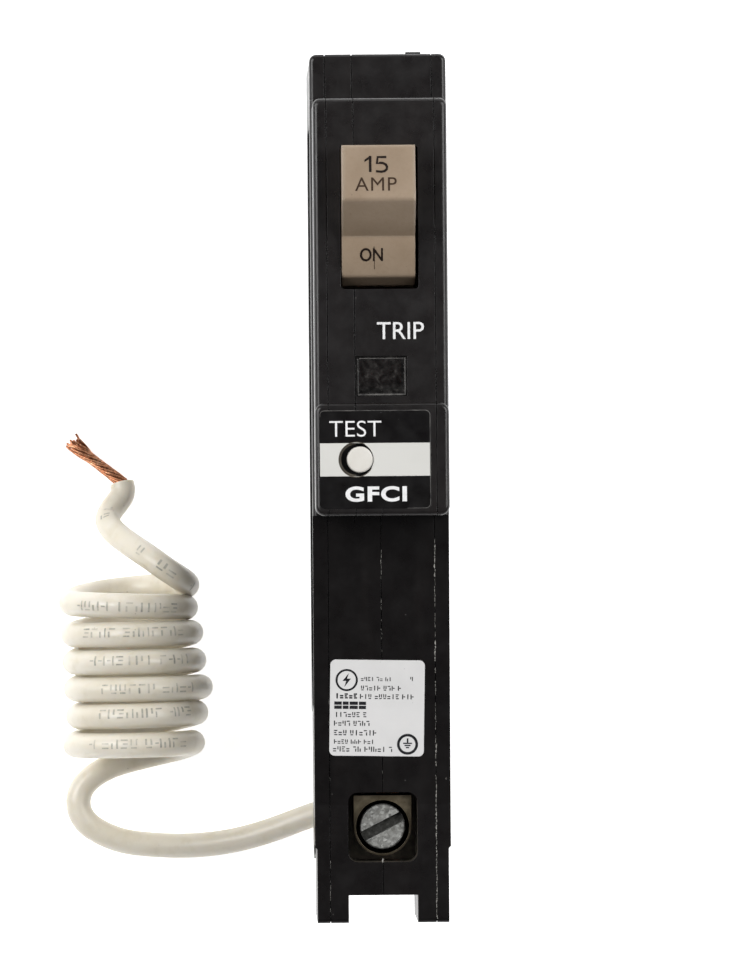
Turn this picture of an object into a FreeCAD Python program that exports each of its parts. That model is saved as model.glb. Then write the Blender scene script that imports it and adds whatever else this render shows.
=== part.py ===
import FreeCAD, Part
import math
import os

# Plug-on ground-fault circuit breaker, single pole, 19 mm wide, with a neutral pigtail.
# It lies on its back. X is the width, +Y the line end, +Z the handle side.
# The origin is the middle of the body's footprint at the back face. Units are millimetres.

V = FreeCAD.Vector

# ---- driving dimensions ----
WIDTH = 19.05                # one pole space, three quarters of an inch
FRONT_WIDTH = 18.45          # the raised front is a little narrower
END_WIDTH = 18.45            # so are the two legs of the load end
LINE_END = 60.6
LOAD_END = -60.9
NUB_END = 60.9
STEP_Z = 46.0                # line-end step
STEP_Y = 53.8
PLATFORM_Z = 60.3            # face around the handle
BLOCK_Z = 61.8               # raised block with the test button
BLOCK_TOP_Y = 11.8
BLOCK_BOTTOM_Y = -3.75
BLOCK_CORNER_R = 1.3
DECK_HIGH_Z = 44.0           # lower front face slopes down to the terminal
DECK_Z = 40.5
DECK_FLAT_Y = -44.3
FOOT_Z = 14.0                # raised back of the load end
FOOT_Y = -32.0
SHOULDER_Y = -50.2
WALL = 2.0

SEAM_LEFT = -7.4             # left cover meets left frame
SEAM_UPPER = -3.65           # left frame meets centre frame, handle half
SEAM_LOWER = 0.0             # the same seam in the lower half
SEAM_RIGHT = 7.5             # centre frame meets right cover
COVER_FLOOR_LEFT = -8.1
COVER_FLOOR_RIGHT = 7.9
GROOVE = 0.12
GROOVE_DEPTH = 0.22

HANDLE_AXIS = (38.0, 51.5)   # (Y, Z) of the handle pin
HANDLE_R = 10.2
HANDLE_LEFT = -5.35
HANDLE_RIGHT = 4.75
HANDLE_TILT = 18.3           # lever leans to the line end when on
LEVER_END = 17.0             # handle axis to the lever's end face
LEVER_HALF = 4.0             # half the end face, along the swing
LEVER_FOOT = (6.3, 8.6)      # where the lever's flanks meet the shroud
SHROUD_R = 15.0              # flatter curve that closes the slot
SHROUD_DROP = 5.0            # its centre below the handle axis
SHROUD_HALF = 11.0
SLOT = (-5.5, 5.2, 27.5, 48.4)
SLOT_LIP = (47.3, 59.5)       # (Y, Z): a thin lip closes the slot up to the lever
PIN_R = 1.5
RUN_FIT = 0.05
PANEL = [(51.0, 9.5), (51.0, 42.5), (0.0, 42.5), (-31.0, 38.0), (-31.0, 17.5), (-25.0, 9.5)]
PANEL_DEPTH = 0.25           # shallow moulded recess in each side cover

ARM_PIVOT_R = 8.0            # handle axis to contact arm pivot
ARM_PIVOT_TILT = 20.0
ARM_LENGTH = 24.7
ARM_TILT = 27.0
CRADLE_AXIS = (28.0, 36.0)
CRADLE_NOSE = (10.1, 20.0)
CRADLE_HOOK = (31.0, 30.0)
FLAG_AXIS = (16.0, 44.0)
FLAG_R = 12.0
FLAG_REST = 31.0
ARMATURE_AXIS = (9.2, 30.0)
SOLENOID_X = -0.5
SOLENOID_Z = 35.8

WINDOW = (-3.55, 3.55, 12.7, 18.25)
BUTTON_X = -3.1
BUTTON_Y = 4.0
BUTTON_R = 1.8
BUTTON_TOP = 62.1
BUTTON_HOLE_X = -3.6
BUTTON_HOLE_R = 2.35
TEST_LABEL = (-8.65, 6.7, -2.8, 10.8)
RATING_LABEL = (-7.35, 5.95, -37.5, -23.9)
RATING_TURN = -1.1           # the label is stuck on slightly askew
LABEL_T = 0.12

LUG_Y = -47.5                # load terminal screw centre
LUG_R = 4.05
LUG_HOLE_R = 3.75
LUG_TOP = 38.2
LUG_BOTTOM = 22.4
RECESS = (-4.85, 4.85, -52.4, -42.6)
NOTCH_Y = -57.0
SCREW_HEAD_R = 3.2
SCREW_R = 2.4
SCREW_SLOT_ANGLE = 27.0
SCREW_SLOT_HALF = 0.72

CORE_X = 0.95                # sensing core and load strap centre
CORE_Z = 14.0
CORE_R = 6.2
CORE_HOLE_R = 3.2
BOARD = (-7.2, -5.6)
RIVETS = [(56.2, 39.5), (17.0, 4.4), (-37.2, 34.0), (-50.0, 18.8)]
RIVET_R = 1.6
RIVET_HEAD_R = 2.7
RIVET_HEAD_T = 0.4

WIRE_D = 3.6
EXIT_X = 3.5
EXIT_Z = 9.0
COIL_X = -34.4
COIL_Z = 10.0
COIL_R = 9.95
COIL_TOP_Y = -13.2
COIL_BOTTOM_Y = -39.0
COIL_LEAN = 1.0
TURN_TILT = 8.0


# ---- helpers ----
def box(x0, x1, y0, y1, z0, z1):
    return Part.makeBox(x1 - x0, y1 - y0, z1 - z0, V(x0, y0, z0))


def rod_x(y, z, radius, x0, x1):
    return Part.makeCylinder(radius, x1 - x0, V(x0, y, z), V(1, 0, 0))


def rod_y(x, z, radius, y0, y1):
    return Part.makeCylinder(radius, y1 - y0, V(x, y0, z), V(0, 1, 0))


def rod_z(x, y, radius, z0, z1):
    return Part.makeCylinder(radius, z1 - z0, V(x, y, z0), V(0, 0, 1))


def side_prism(points, x0, x1):
    """A solid from an outline of (Y, Z) points, from x0 to x1."""
    ring = [V(x0, y, z) for y, z in points]
    wire = Part.makePolygon(ring + [ring[0]])
    return Part.Face(wire).extrude(V(x1 - x0, 0, 0))


def joined(shapes):
    result = shapes[0]
    for shape in shapes[1:]:
        result = result.fuse(shape)
    return result.removeSplitter()


def without(shape, cutters):
    for cutter in cutters:
        shape = shape.cut(cutter)
    return shape


def rounded_x_edges(shape, corners, radius):
    """Round the edges that run along X through the given (Y, Z) corners."""
    picked = []
    for edge in shape.Edges:
        start = edge.Vertexes[0].Point
        end = edge.Vertexes[-1].Point
        along_x = abs(start.y - end.y) < 0.01 and abs(start.z - end.z) < 0.01
        near = any(abs(start.y - y) < 0.05 and abs(start.z - z) < 0.05 for y, z in corners)
        if along_x and near:
            picked.append(edge)
    return shape.makeFillet(radius, picked)


def upright_edges(shape, y):
    """The straight edges along Z that stand at the given Y."""
    return [edge for edge in shape.Edges
            if edge.BoundBox.ZLength > 5 and edge.BoundBox.XLength < 0.01 and edge.BoundBox.YLength < 0.01
            and abs(edge.BoundBox.YMin - y) < 0.01]


def rounded_plate(x0, x1, y0, y1, z0, z1, radius):
    plate = box(x0, x1, y0, y1, z0, z1)
    upright = [edge for edge in plate.Edges if abs(edge.tangentAt(edge.FirstParameter).z) > 0.9]
    return plate.makeFillet(radius, upright)


def coil_spring(start, end, radius, wire_r, turns):
    """An open helical spring between two points."""
    axis = end.sub(start)
    length = axis.Length
    helix = Part.makeHelix(length / turns, length, radius)
    section = Part.Wire([Part.Circle(V(radius, 0, 0), V(0, 1, 0), wire_r).toShape()])
    spring = Part.Wire(helix).makePipeShell([section], True, True)
    spring.Placement = FreeCAD.Placement(start, FreeCAD.Rotation(V(0, 0, 1), axis))
    return spring


def tube(points, radius, name):
    """A round cord along straight runs joined by tangent arcs."""
    corners = [V(*point) for point in points]
    edges = []
    last = corners[0]
    radii = []
    for before, corner, after in zip(corners, corners[1:], corners[2:]):
        into = corner.sub(before)
        out = after.sub(corner)
        half_turn = into.getAngle(out) / 2
        reach = 0.45 * min(into.Length, out.Length)
        radii.append(reach / math.tan(half_turn))
        into.normalize()
        out.normalize()
        arc_start = corner.sub(V(into).multiply(reach))
        arc_end = corner.add(V(out).multiply(reach))
        inward = V(out).sub(into)
        inward.normalize()
        sagitta = reach * math.tan(half_turn / 2) * math.cos(half_turn)
        chord_mid = arc_start.add(arc_end).multiply(0.5)
        arc_mid = chord_mid.sub(V(inward).multiply(sagitta))
        edges.append(Part.LineSegment(last, arc_start).toShape())
        edges.append(Part.Arc(arc_start, arc_mid, arc_end).toShape())
        last = arc_end
    edges.append(Part.LineSegment(last, corners[-1]).toShape())
    path = Part.Wire(edges)
    heading = corners[1].sub(corners[0])
    section = Part.Wire([Part.Circle(corners[0], heading, radius).toShape()])
    solid = path.makePipeShell([section], True, False)
    ideal = math.pi * radius ** 2 * path.Length
    print(name, "length %.1f, volume ratio %.4f" % (path.Length, solid.Volume / ideal))
    print(name, "radii", " ".join("%.1f" % r for r in radii))
    return solid


def write(name, shape):
    solids = shape.Solids
    if len(solids) == 1:
        shape = solids[0]
    else:
        shape = Part.Compound(solids)
    if not shape.isValid():
        print("NOT VALID", name)
    shape.exportStep("parts/" + name + ".step")


# ---- moulded casing ----
def outer_body():
    lower_outline = [(LINE_END, 0), (LINE_END, STEP_Z), (BLOCK_BOTTOM_Y, STEP_Z),
                     (BLOCK_BOTTOM_Y, DECK_HIGH_Z), (DECK_FLAT_Y, DECK_Z), (LOAD_END, DECK_Z),
                     (LOAD_END, FOOT_Z), (FOOT_Y, FOOT_Z), (FOOT_Y, 0)]
    lower = side_prism(lower_outline, -WIDTH / 2, WIDTH / 2)
    lower = lower.makeFillet(1.0, upright_edges(lower, LINE_END))
    lower = rounded_x_edges(lower, [(LINE_END, STEP_Z), (LOAD_END, DECK_Z), (LOAD_END, FOOT_Z),
                                    (FOOT_Y, 0), (LINE_END, 0)], 0.6)
    base_z = DECK_Z - 4
    platform = box(-FRONT_WIDTH / 2, FRONT_WIDTH / 2, BLOCK_BOTTOM_Y, STEP_Y, base_z, PLATFORM_Z)
    platform = platform.makeFillet(1.0, upright_edges(platform, STEP_Y))
    platform = platform.makeFillet(BLOCK_CORNER_R, upright_edges(platform, BLOCK_BOTTOM_Y))
    platform = rounded_x_edges(platform, [(STEP_Y, PLATFORM_Z)], 0.7)
    block = rounded_plate(-FRONT_WIDTH / 2, FRONT_WIDTH / 2, BLOCK_BOTTOM_Y, BLOCK_TOP_Y,
                          base_z, BLOCK_Z, BLOCK_CORNER_R)
    rim = [edge for edge in block.Edges if edge.BoundBox.ZMin > BLOCK_Z - 0.01]
    block = block.makeFillet(0.6, rim)
    nub = box(3.95, 6.05, LINE_END - 1, NUB_END, 41.0, 44.5)
    body = joined([lower, platform, block, nub])
    inset = (WIDTH - END_WIDTH) / 2
    for side in (-1, 1):
        outer = side * WIDTH / 2
        inner = side * (WIDTH / 2 - inset)
        corner = [V(outer, SHOULDER_Y, 0), V(inner, SHOULDER_Y - inset, 0), V(inner, LOAD_END - 1, 0),
                  V(outer + side, LOAD_END - 1, 0), V(outer + side, SHOULDER_Y, 0)]
        shave = Part.Face(Part.makePolygon(corner + [corner[0]])).extrude(V(0, 0, DECK_HIGH_Z))
        body = body.cut(shave)
    return body


def seam_grooves(body, inner):
    """Thin shell just under the outer surface, cut to slots where the mouldings meet."""
    skin = body.cut(inner)
    slots = []
    for x, y0, y1 in [(SEAM_LEFT, LOAD_END, LINE_END), (SEAM_RIGHT, LOAD_END, LINE_END),
                      (SEAM_UPPER, BLOCK_BOTTOM_Y, LINE_END), (SEAM_LOWER, LOAD_END, BLOCK_BOTTOM_Y)]:
        slots.append(box(x - GROOVE / 2, x + GROOVE / 2, y0 - 1, y1 + 1, -1, BLOCK_Z + 1))
    return skin.common(joined(slots))


def inset_body():
    """The side outline pulled in by the depth of the seam grooves."""
    d = GROOVE_DEPTH
    outline = [(LINE_END - d, d), (LINE_END - d, STEP_Z - d), (STEP_Y - d, STEP_Z - d),
               (STEP_Y - d, PLATFORM_Z - d), (BLOCK_TOP_Y - d, PLATFORM_Z - d),
               (BLOCK_TOP_Y - d, BLOCK_Z - d), (BLOCK_BOTTOM_Y + d, BLOCK_Z - d),
               (BLOCK_BOTTOM_Y + d, DECK_HIGH_Z - d), (DECK_FLAT_Y, DECK_Z - d),
               (LOAD_END + d, DECK_Z - d), (LOAD_END + d, FOOT_Z + d), (FOOT_Y + d, FOOT_Z + d),
               (FOOT_Y + d, d)]
    return side_prism(outline, -WIDTH, WIDTH)


def cavity(x0, x1):
    """The hollow that holds the mechanism and the circuit board."""
    outline = [(LINE_END - WALL, WALL), (LINE_END - WALL, STEP_Z - WALL),
               (STEP_Y - WALL, STEP_Z - WALL), (STEP_Y - WALL, PLATFORM_Z - WALL),
               (BLOCK_BOTTOM_Y + WALL, PLATFORM_Z - WALL), (BLOCK_BOTTOM_Y + WALL, 41.8),
               (-39.5, 38.7), (-39.5, FOOT_Z + WALL), (-28.0, FOOT_Z + WALL), (-28.0, WALL)]
    return side_prism(outline, x0, x1)


def on_deck(shape):
    """Turns a label lying at Z 0 slightly askew and lays it on the sloping lower deck."""
    x0, x1, y0, y1 = RATING_LABEL
    slope = (DECK_HIGH_Z - DECK_Z) / (BLOCK_BOTTOM_Y - DECK_FLAT_Y)
    shape.rotate(V((x0 + x1) / 2, (y0 + y1) / 2, 0), V(0, 0, 1), RATING_TURN)
    shape.rotate(V(0, DECK_FLAT_Y, 0), V(1, 0, 0), math.degrees(math.atan(slope)))
    shape.translate(V(0, 0, DECK_Z))
    return shape


def front_openings():
    x0, x1, y0, y1 = SLOT
    lip_y, lip_z = SLOT_LIP
    slot = rounded_plate(x0, x1, y0, lip_y, 52, 62, 0.5)
    undercut = rounded_plate(x0, x1, y0, y1, 52, lip_z, 0.5)
    wx0, wx1, wy0, wy1 = WINDOW
    window = box(wx0, wx1, wy0, wy1, PLATFORM_Z - 1, PLATFORM_Z + 1)
    sight = box(wx0 + 0.5, wx1 - 0.5, wy0 + 0.5, wy1 - 0.5, PLATFORM_Z - 4, PLATFORM_Z)
    lx0, lx1, ly0, ly1 = TEST_LABEL
    label = rounded_plate(lx0, lx1, ly0, ly1, BLOCK_Z - LABEL_T, BLOCK_Z + 1, 0.7)
    well = rod_z(BUTTON_HOLE_X, BUTTON_Y, BUTTON_HOLE_R - 0.05, BLOCK_Z - 2, BLOCK_Z + 1)
    guide = rod_z(BUTTON_X, BUTTON_Y, BUTTON_R + RUN_FIT, PLATFORM_Z - 4, BLOCK_Z + 1)
    rx0, rx1, ry0, ry1 = RATING_LABEL
    rating = on_deck(rounded_plate(rx0, rx1, ry0, ry1, -LABEL_T, 3, 0.8))
    return [slot, undercut, window, sight, label, well, guide, rating]


def end_openings():
    x0, x1, y0, y1 = RECESS
    recess = rounded_plate(x0, x1, y0, y1, LUG_BOTTOM, DECK_Z + 2, 1.4)
    notch = box(x0, x1, LOAD_END - 1, NOTCH_Y, FOOT_Z - 1, DECK_Z + 1)
    wire_entry = box(x0, x1, NOTCH_Y - 1, y0 + 2, LUG_BOTTOM, 30.0)
    strap_slot = box(CORE_X - 1.7, CORE_X + 1.7, y1 - 1, -39, 23.5, 24.7)
    stab_back = box(-1.7, 1.7, 43.5, NUB_END + 1, -1, WALL + 0.1)
    stab_end = box(-1.7, 1.7, LINE_END - WALL - 0.1, NUB_END + 1, -1, 12.5)
    rail = box(-WIDTH, WIDTH, FOOT_Y - 1, FOOT_Y + 2.2, 1.6, 3.8)
    exit_hole = rod_y(EXIT_X, EXIT_Z, 2.6, FOOT_Y - 1, -27)
    calibration = rod_z(CORE_X, -1.5, 1.3, -1, WALL + 0.1)
    return [recess, notch, wire_entry, strap_slot, stab_back, stab_end, rail, exit_hole, calibration]


def bosses():
    posts = [rod_x(y, z, 2.9, COVER_FLOOR_LEFT, COVER_FLOOR_RIGHT) for y, z in RIVETS[:3]]
    guide = rod_z(CORE_X, -1.5, 3.0, WALL - 0.5, 8.5).cut(rod_z(CORE_X, -1.5, 1.3, 0, 9))
    guide = guide.cut(rod_z(CORE_X, -1.5, 2.3, WALL, 3.8))
    return posts, guide


def rivet_holes():
    holes = []
    for y, z in RIVETS:
        holes.append(rod_x(y, z, RIVET_R, -WIDTH, WIDTH))
        holes.append(rod_x(y, z, RIVET_HEAD_R + 0.1, -WIDTH, -WIDTH / 2 + RIVET_HEAD_T))
        holes.append(rod_x(y, z, RIVET_HEAD_R + 0.1, WIDTH / 2 - RIVET_HEAD_T, WIDTH))
    return holes


def pin_sockets():
    """Blind holes in the covers that hold the ends of the pivot pins."""
    pins = [(HANDLE_AXIS, PIN_R), (CRADLE_AXIS, 1.25), (FLAG_AXIS, 0.8), (ARMATURE_AXIS, 0.8)]
    return [rod_x(axis[0], axis[1], radius, COVER_FLOOR_LEFT - 0.6, COVER_FLOOR_RIGHT + 0.6)
            for axis, radius in pins]


def side_panels():
    right = rounded_x_edges(side_prism(PANEL, WIDTH / 2 - PANEL_DEPTH, WIDTH), PANEL, 2.0)
    left = rounded_x_edges(side_prism(PANEL, -WIDTH, PANEL_DEPTH - WIDTH / 2), PANEL, 2.0)
    return [right, left]


def casing():
    body = outer_body()
    grooves = seam_grooves(body, inset_body())
    posts, guide = bosses()
    solid = without(body.cut(grooves), front_openings() + end_openings())
    hollow = cavity(COVER_FLOOR_LEFT, COVER_FLOOR_RIGHT)
    solid = solid.cut(without(hollow, posts + [guide]))
    solid = without(solid, rivet_holes() + pin_sockets() + side_panels())
    far = 100
    upper_y = BLOCK_BOTTOM_Y
    slabs = {
        "left_cover": [box(-far, SEAM_LEFT, -far, far, -far, far)],
        "left_frame": [box(SEAM_LEFT, SEAM_UPPER, -far, far, -far, far),
                       box(SEAM_UPPER, SEAM_LOWER, -far, upper_y, -far, far)],
        "center_frame": [box(SEAM_UPPER, SEAM_RIGHT, upper_y, far, -far, far),
                         box(SEAM_LOWER, SEAM_RIGHT, -far, upper_y, -far, far)],
        "right_cover": [box(SEAM_RIGHT, far, -far, far, -far, far)],
    }
    for name, regions in slabs.items():
        piece = solid.common(joined(regions))
        keep = max(piece.Solids, key=lambda one: one.Volume)
        write(name, keep)
        print(name, " ".join("%.1f" % one.Volume for one in piece.Solids))


def rivets():
    pieces = []
    for y, z in RIVETS:
        shank = rod_x(y, z, RIVET_R, -WIDTH / 2, WIDTH / 2)
        left = rod_x(y, z, RIVET_HEAD_R, -WIDTH / 2, -WIDTH / 2 + RIVET_HEAD_T)
        right = rod_x(y, z, RIVET_HEAD_R, WIDTH / 2 - RIVET_HEAD_T, WIDTH / 2)
        dimple = rod_x(y, z, 0.9, -WIDTH / 2 - 1, -WIDTH / 2 + 1.2)
        pieces.append(joined([shank, left, right]).cut(dimple))
    write("case_rivets", Part.Compound(pieces))


# ---- labels and window ----
def labels():
    x0, x1, y0, y1 = TEST_LABEL
    plate = rounded_plate(x0 + 0.03, x1 - 0.03, y0 + 0.03, y1 - 0.03, BLOCK_Z - LABEL_T, BLOCK_Z - 0.02, 0.68)
    plate = plate.cut(rod_z(BUTTON_HOLE_X, BUTTON_Y, BUTTON_HOLE_R, BLOCK_Z - 1, BLOCK_Z + 1))
    write("test_label", plate)
    x0, x1, y0, y1 = RATING_LABEL
    rating = rounded_plate(x0 + 0.03, x1 - 0.03, y0 + 0.03, y1 - 0.03, -LABEL_T, 0.03, 0.78)
    write("rating_label", on_deck(rating))


def trip_window():
    x0, x1, y0, y1 = WINDOW
    lens = box(x0, x1, y0, y1, PLATFORM_Z - 0.95, PLATFORM_Z + 0.05)
    lens = lens.makeChamfer(0.25, [edge for edge in lens.Edges if edge.BoundBox.ZMin > PLATFORM_Z])
    write("trip_window", lens)


# ---- handle and switching mechanism ----
def place_on_handle(shape, tilt):
    shape.rotate(V(0, 0, 0), V(1, 0, 0), -tilt)
    shape.translate(V(0, HANDLE_AXIS[0], HANDLE_AXIS[1]))
    return shape


def handle():
    rotor = rod_x(0, 0, HANDLE_R, HANDLE_LEFT, HANDLE_RIGHT)
    foot_y, foot_z = LEVER_FOOT
    lever_outline = [(-foot_y, foot_z), (-LEVER_HALF, LEVER_END), (LEVER_HALF, LEVER_END),
                     (foot_y, foot_z), (0, 2)]
    lever = side_prism(lever_outline, HANDLE_LEFT, HANDLE_RIGHT)
    tip = [edge for edge in lever.Edges if edge.BoundBox.ZMin > LEVER_END - 0.1]
    lever = lever.makeFillet(0.55, tip)
    shroud = rod_x(0, -SHROUD_DROP, SHROUD_R, HANDLE_LEFT, HANDLE_RIGHT)
    shroud = shroud.common(box(-WIDTH, WIDTH, -SHROUD_HALF, SHROUD_HALF, 1.5, HANDLE_R))
    corners = [edge for edge in shroud.Edges
               if edge.BoundBox.YLength < 0.01 and edge.BoundBox.XLength > 5 and edge.BoundBox.ZMin > 2]
    shroud = shroud.makeFillet(1.0, corners)
    body = joined([rotor, lever, shroud])
    body = body.cut(rod_x(0, 0, PIN_R + RUN_FIT, HANDLE_LEFT - 1, HANDLE_RIGHT + 1))
    body = place_on_handle(body, HANDLE_TILT)
    arm_slot = box(-1.2, 1.2, -12, 12, -12, -5.2)
    pivot_hole = rod_x(0, -ARM_PIVOT_R, 1.0, HANDLE_LEFT - 1, HANDLE_RIGHT + 1)
    body = without(body, [place_on_handle(cutter, ARM_PIVOT_TILT) for cutter in (arm_slot, pivot_hole)])
    write("handle", body)
    pin = rod_x(0, -ARM_PIVOT_R, 1.0, HANDLE_LEFT, HANDLE_RIGHT)
    write("arm_pivot_pin", place_on_handle(pin, ARM_PIVOT_TILT))


def pivot_pins():
    x0 = COVER_FLOOR_LEFT - 0.6
    x1 = COVER_FLOOR_RIGHT + 0.6
    write("handle_pin", rod_x(HANDLE_AXIS[0], HANDLE_AXIS[1], PIN_R, x0, x1))
    write("cradle_pin", rod_x(CRADLE_AXIS[0], CRADLE_AXIS[1], 1.25, x0, x1))
    write("flag_pin", rod_x(FLAG_AXIS[0], FLAG_AXIS[1], 0.8, x0, x1))
    write("armature_pin", rod_x(ARMATURE_AXIS[0], ARMATURE_AXIS[1], 0.8, x0, x1))


def arm_pivot():
    tilt = math.radians(ARM_PIVOT_TILT)
    return (HANDLE_AXIS[0] - ARM_PIVOT_R * math.sin(tilt), HANDLE_AXIS[1] - ARM_PIVOT_R * math.cos(tilt))


def place_on_arm(shape):
    """From the arm's own axes, with the arm hanging down from its pivot, to its closed place."""
    y, z = arm_pivot()
    shape.rotate(V(0, 0, 0), V(1, 0, 0), ARM_TILT)
    shape.translate(V(0, y, z))
    return shape


def contact_arm():
    head = rod_x(0, 0, 2.1, -1.0, 1.0)
    blade = side_prism([(-1.6, 0), (1.6, 0), (1.25, -ARM_LENGTH - 2), (-1.25, -ARM_LENGTH - 2)], -1.0, 1.0)
    shoe = box(-1.8, 1.8, 0.05, 1.4, -ARM_LENGTH - 2, -ARM_LENGTH + 2)
    arm = joined([head, blade, shoe]).cut(rod_x(0, 0, 1.0 + RUN_FIT, -2, 2))
    write("contact_arm", place_on_arm(arm))
    write("moving_contact", place_on_arm(rod_y(0, -ARM_LENGTH, 1.7, 1.4, 2.3)))
    write("stationary_contact", place_on_arm(rod_y(0, -ARM_LENGTH, 1.8, 2.33, 3.4)))


def line_terminal():
    seat = place_on_arm(box(-2.5, 2.5, 3.4, 4.9, -ARM_LENGTH - 2.4, -ARM_LENGTH + 2.4))
    low = min(seat.Vertexes, key=lambda vertex: vertex.Point.z).Point
    leg = side_prism([(low.y - 0.4, low.z + 1.8), (low.y + 1.2, low.z + 1.8), (53.5, 18.0), (53.5, 13.9),
                      (52.0, 13.9), (52.0, 17.6)], -2.5, 2.5)
    write("line_terminal", joined([seat, leg]))
    base = box(-2.7, 2.7, 44.5, 57.5, 12.7, 13.9)
    blades = [box(1.6, 2.7, 44.5, 57.5, 2.6, 12.7), box(-2.7, -1.6, 44.5, 57.5, 2.6, 12.7)]
    write("line_jaw", joined([base] + blades))
    outer = box(-3.4, 3.4, 45.4, 50.6, 4.6, 14.6)
    write("jaw_spring", outer.cut(box(-2.75, 2.75, 45, 51, 4, 13.95)))


def cradle():
    boss = rod_x(CRADLE_AXIS[0], CRADLE_AXIS[1], 3.0, -0.8, 0.8)
    arm = side_prism([(27.0, 38.6), (30.0, 33.8), (12.5, 19.0), (10.1, 19.2), (10.1, 21.0), (13.0, 24.0)],
                     -0.8, 0.8)
    hook = side_prism([(26.0, 34.5), (30.5, 36.5), (32.2, 30.2), (30.2, 29.2)], -0.8, 0.8)
    eye = rod_x(CRADLE_HOOK[0], CRADLE_HOOK[1], 0.6, -2, 2)
    plate = joined([boss, arm, hook])
    plate = plate.cut(rod_x(CRADLE_AXIS[0], CRADLE_AXIS[1], 1.25 + RUN_FIT, -2, 2)).cut(eye)
    write("cradle", plate)
    spacers = [rod_x(CRADLE_AXIS[0], CRADLE_AXIS[1], 2.2, COVER_FLOOR_LEFT, -0.85),
               rod_x(CRADLE_AXIS[0], CRADLE_AXIS[1], 2.2, 0.85, COVER_FLOOR_RIGHT)]
    bore = rod_x(CRADLE_AXIS[0], CRADLE_AXIS[1], 1.25, -9, 9)
    write("cradle_spacers", Part.Compound([spacer.cut(bore) for spacer in spacers]))
    tilt = math.radians(ARM_TILT)
    y, z = arm_pivot()
    reach = 9.0
    arm_point = V(0, y + reach * math.sin(tilt) - 1.9, z - reach * math.cos(tilt) - 0.9)
    hook_point = V(0, CRADLE_HOOK[0] + 1.7, CRADLE_HOOK[1] + 1.2)
    write("toggle_spring", coil_spring(hook_point, arm_point, 1.4, 0.25, 7))


def trip_flag():
    hub = rod_x(0, 0, 2.0, -3.0, 3.0)
    stem = box(-1.5, 1.5, -0.6, 0.6, 1.0, FLAG_R)
    head = rod_x(0, 0, FLAG_R + 0.9, -3.0, 3.0).cut(rod_x(0, 0, FLAG_R, -4, 4))
    head = head.common(box(-4, 4, -2.9, 2.9, 5, 20))
    flag = joined([hub, stem, head]).cut(rod_x(0, 0, 0.8 + RUN_FIT, -4, 4))
    flag.rotate(V(0, 0, 0), V(1, 0, 0), -FLAG_REST)
    flag.translate(V(0, FLAG_AXIS[0], FLAG_AXIS[1]))
    write("trip_flag", flag)


def arc_chute():
    plates = []
    for index in range(6):
        y = 25.0 + index * 3.0
        plate = box(-4.2, 4.2, y, y + 1.0, 4.0, 15.5)
        notch = Part.makePolygon([V(-2.2, y - 1, 16), V(2.2, y - 1, 16), V(0, y - 1, 9.5), V(-2.2, y - 1, 16)])
        plates.append(plate.cut(Part.Face(notch).extrude(V(0, 3, 0))))
    write("arc_plates", Part.Compound(plates))
    sides = [box(4.25, 5.0, 24.2, 42.0, 3.5, 16.0), box(-5.0, -4.25, 24.2, 42.0, 3.5, 16.0)]
    write("arc_chute_walls", Part.Compound(sides))


# ---- trip unit ----
def trip_unit():
    strip = box(-2.0, 2.0, 3.0, 3.8, 11.4, 29.0)
    tab = box(-5.4, -1.9, 3.0, 3.8, 26.0, 29.0)
    write("bimetal_strip", joined([strip, tab]))
    yoke = box(-3.4, 3.4, 0.6, 6.1, 15.2, 25.0).cut(box(-2.6, 2.6, 1.8, 7, 15, 26))
    write("magnet_yoke", yoke)
    plate = box(-3.2, 3.2, 8.6, 9.8, 16.5, 40.0)
    knuckle = rod_x(ARMATURE_AXIS[0], ARMATURE_AXIS[1], 1.5, -3.2, 3.2)
    armature = joined([plate, knuckle])
    armature = armature.cut(rod_x(ARMATURE_AXIS[0], ARMATURE_AXIS[1], 0.8 + RUN_FIT, -4, 4))
    write("armature", armature)
    head = rod_z(CORE_X, -1.5, 2.2, 2.2, 3.6)
    shank = rod_z(CORE_X, -1.5, 1.25, 3.6, 11.35)
    slot = box(CORE_X - 3, CORE_X + 3, -1.8, -1.2, 2.0, 2.9)
    write("calibration_screw", joined([head, shank]).cut(slot))


def load_strap():
    x0 = CORE_X - 1.6
    x1 = CORE_X + 1.6
    outline = [(3.0, 11.4), (3.0, 14.6), (2.0, 14.6), (2.0, 12.4), (-24.0, 12.4), (-24.0, 24.6),
               (-51.3, 24.6), (-51.3, 23.6), (-25.0, 23.6), (-25.0, 11.4)]
    write("load_strap", side_prism(outline, x0, x1))


def solenoid():
    x, z = SOLENOID_X, SOLENOID_Z
    frame = box(x - 4.4, x + 4.4, -17.0, -1.0, z - 5.2, z + 4.3)
    frame = frame.cut(box(x - 5, x + 5, -16.0, -2.0, z - 4.3, z + 5))
    frame = frame.cut(rod_y(x, z, 1.75, -20, 1))
    write("solenoid_frame", frame)
    bobbin = joined([rod_y(x, z, 2.2, -15.9, -2.1), rod_y(x, z, 4.1, -15.9, -15.1),
                     rod_y(x, z, 4.1, -2.9, -2.1)]).cut(rod_y(x, z, 1.55, -17, -1))
    write("solenoid_bobbin", bobbin)
    winding = rod_y(x, z, 3.8, -15.1, -2.9).cut(rod_y(x, z, 2.2, -16, -2))
    write("solenoid_winding", winding)
    rod = rod_y(x, z, 1.5, -18.5, 7.25)
    tip = Part.makeSphere(1.2, V(x, 7.25, z))
    collar = rod_y(x, z, 2.4, 4.6, 5.4)
    write("solenoid_plunger", joined([rod, tip, collar]))
    write("plunger_spring", coil_spring(V(x, -0.7, z), V(x, 4.3, z), 1.95, 0.22, 6))


# ---- ground-fault electronics ----
def circuit_board():
    x0, x1 = BOARD
    outline = [(-27.5, 4), (-1, 4), (-1, 36), (7.5, 36), (7.5, 49), (-1, 49), (-1, 38), (-32.5, 38),
               (-32.5, 18), (-27.5, 18)]
    write("circuit_board", side_prism(outline, x0, x1))


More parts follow.
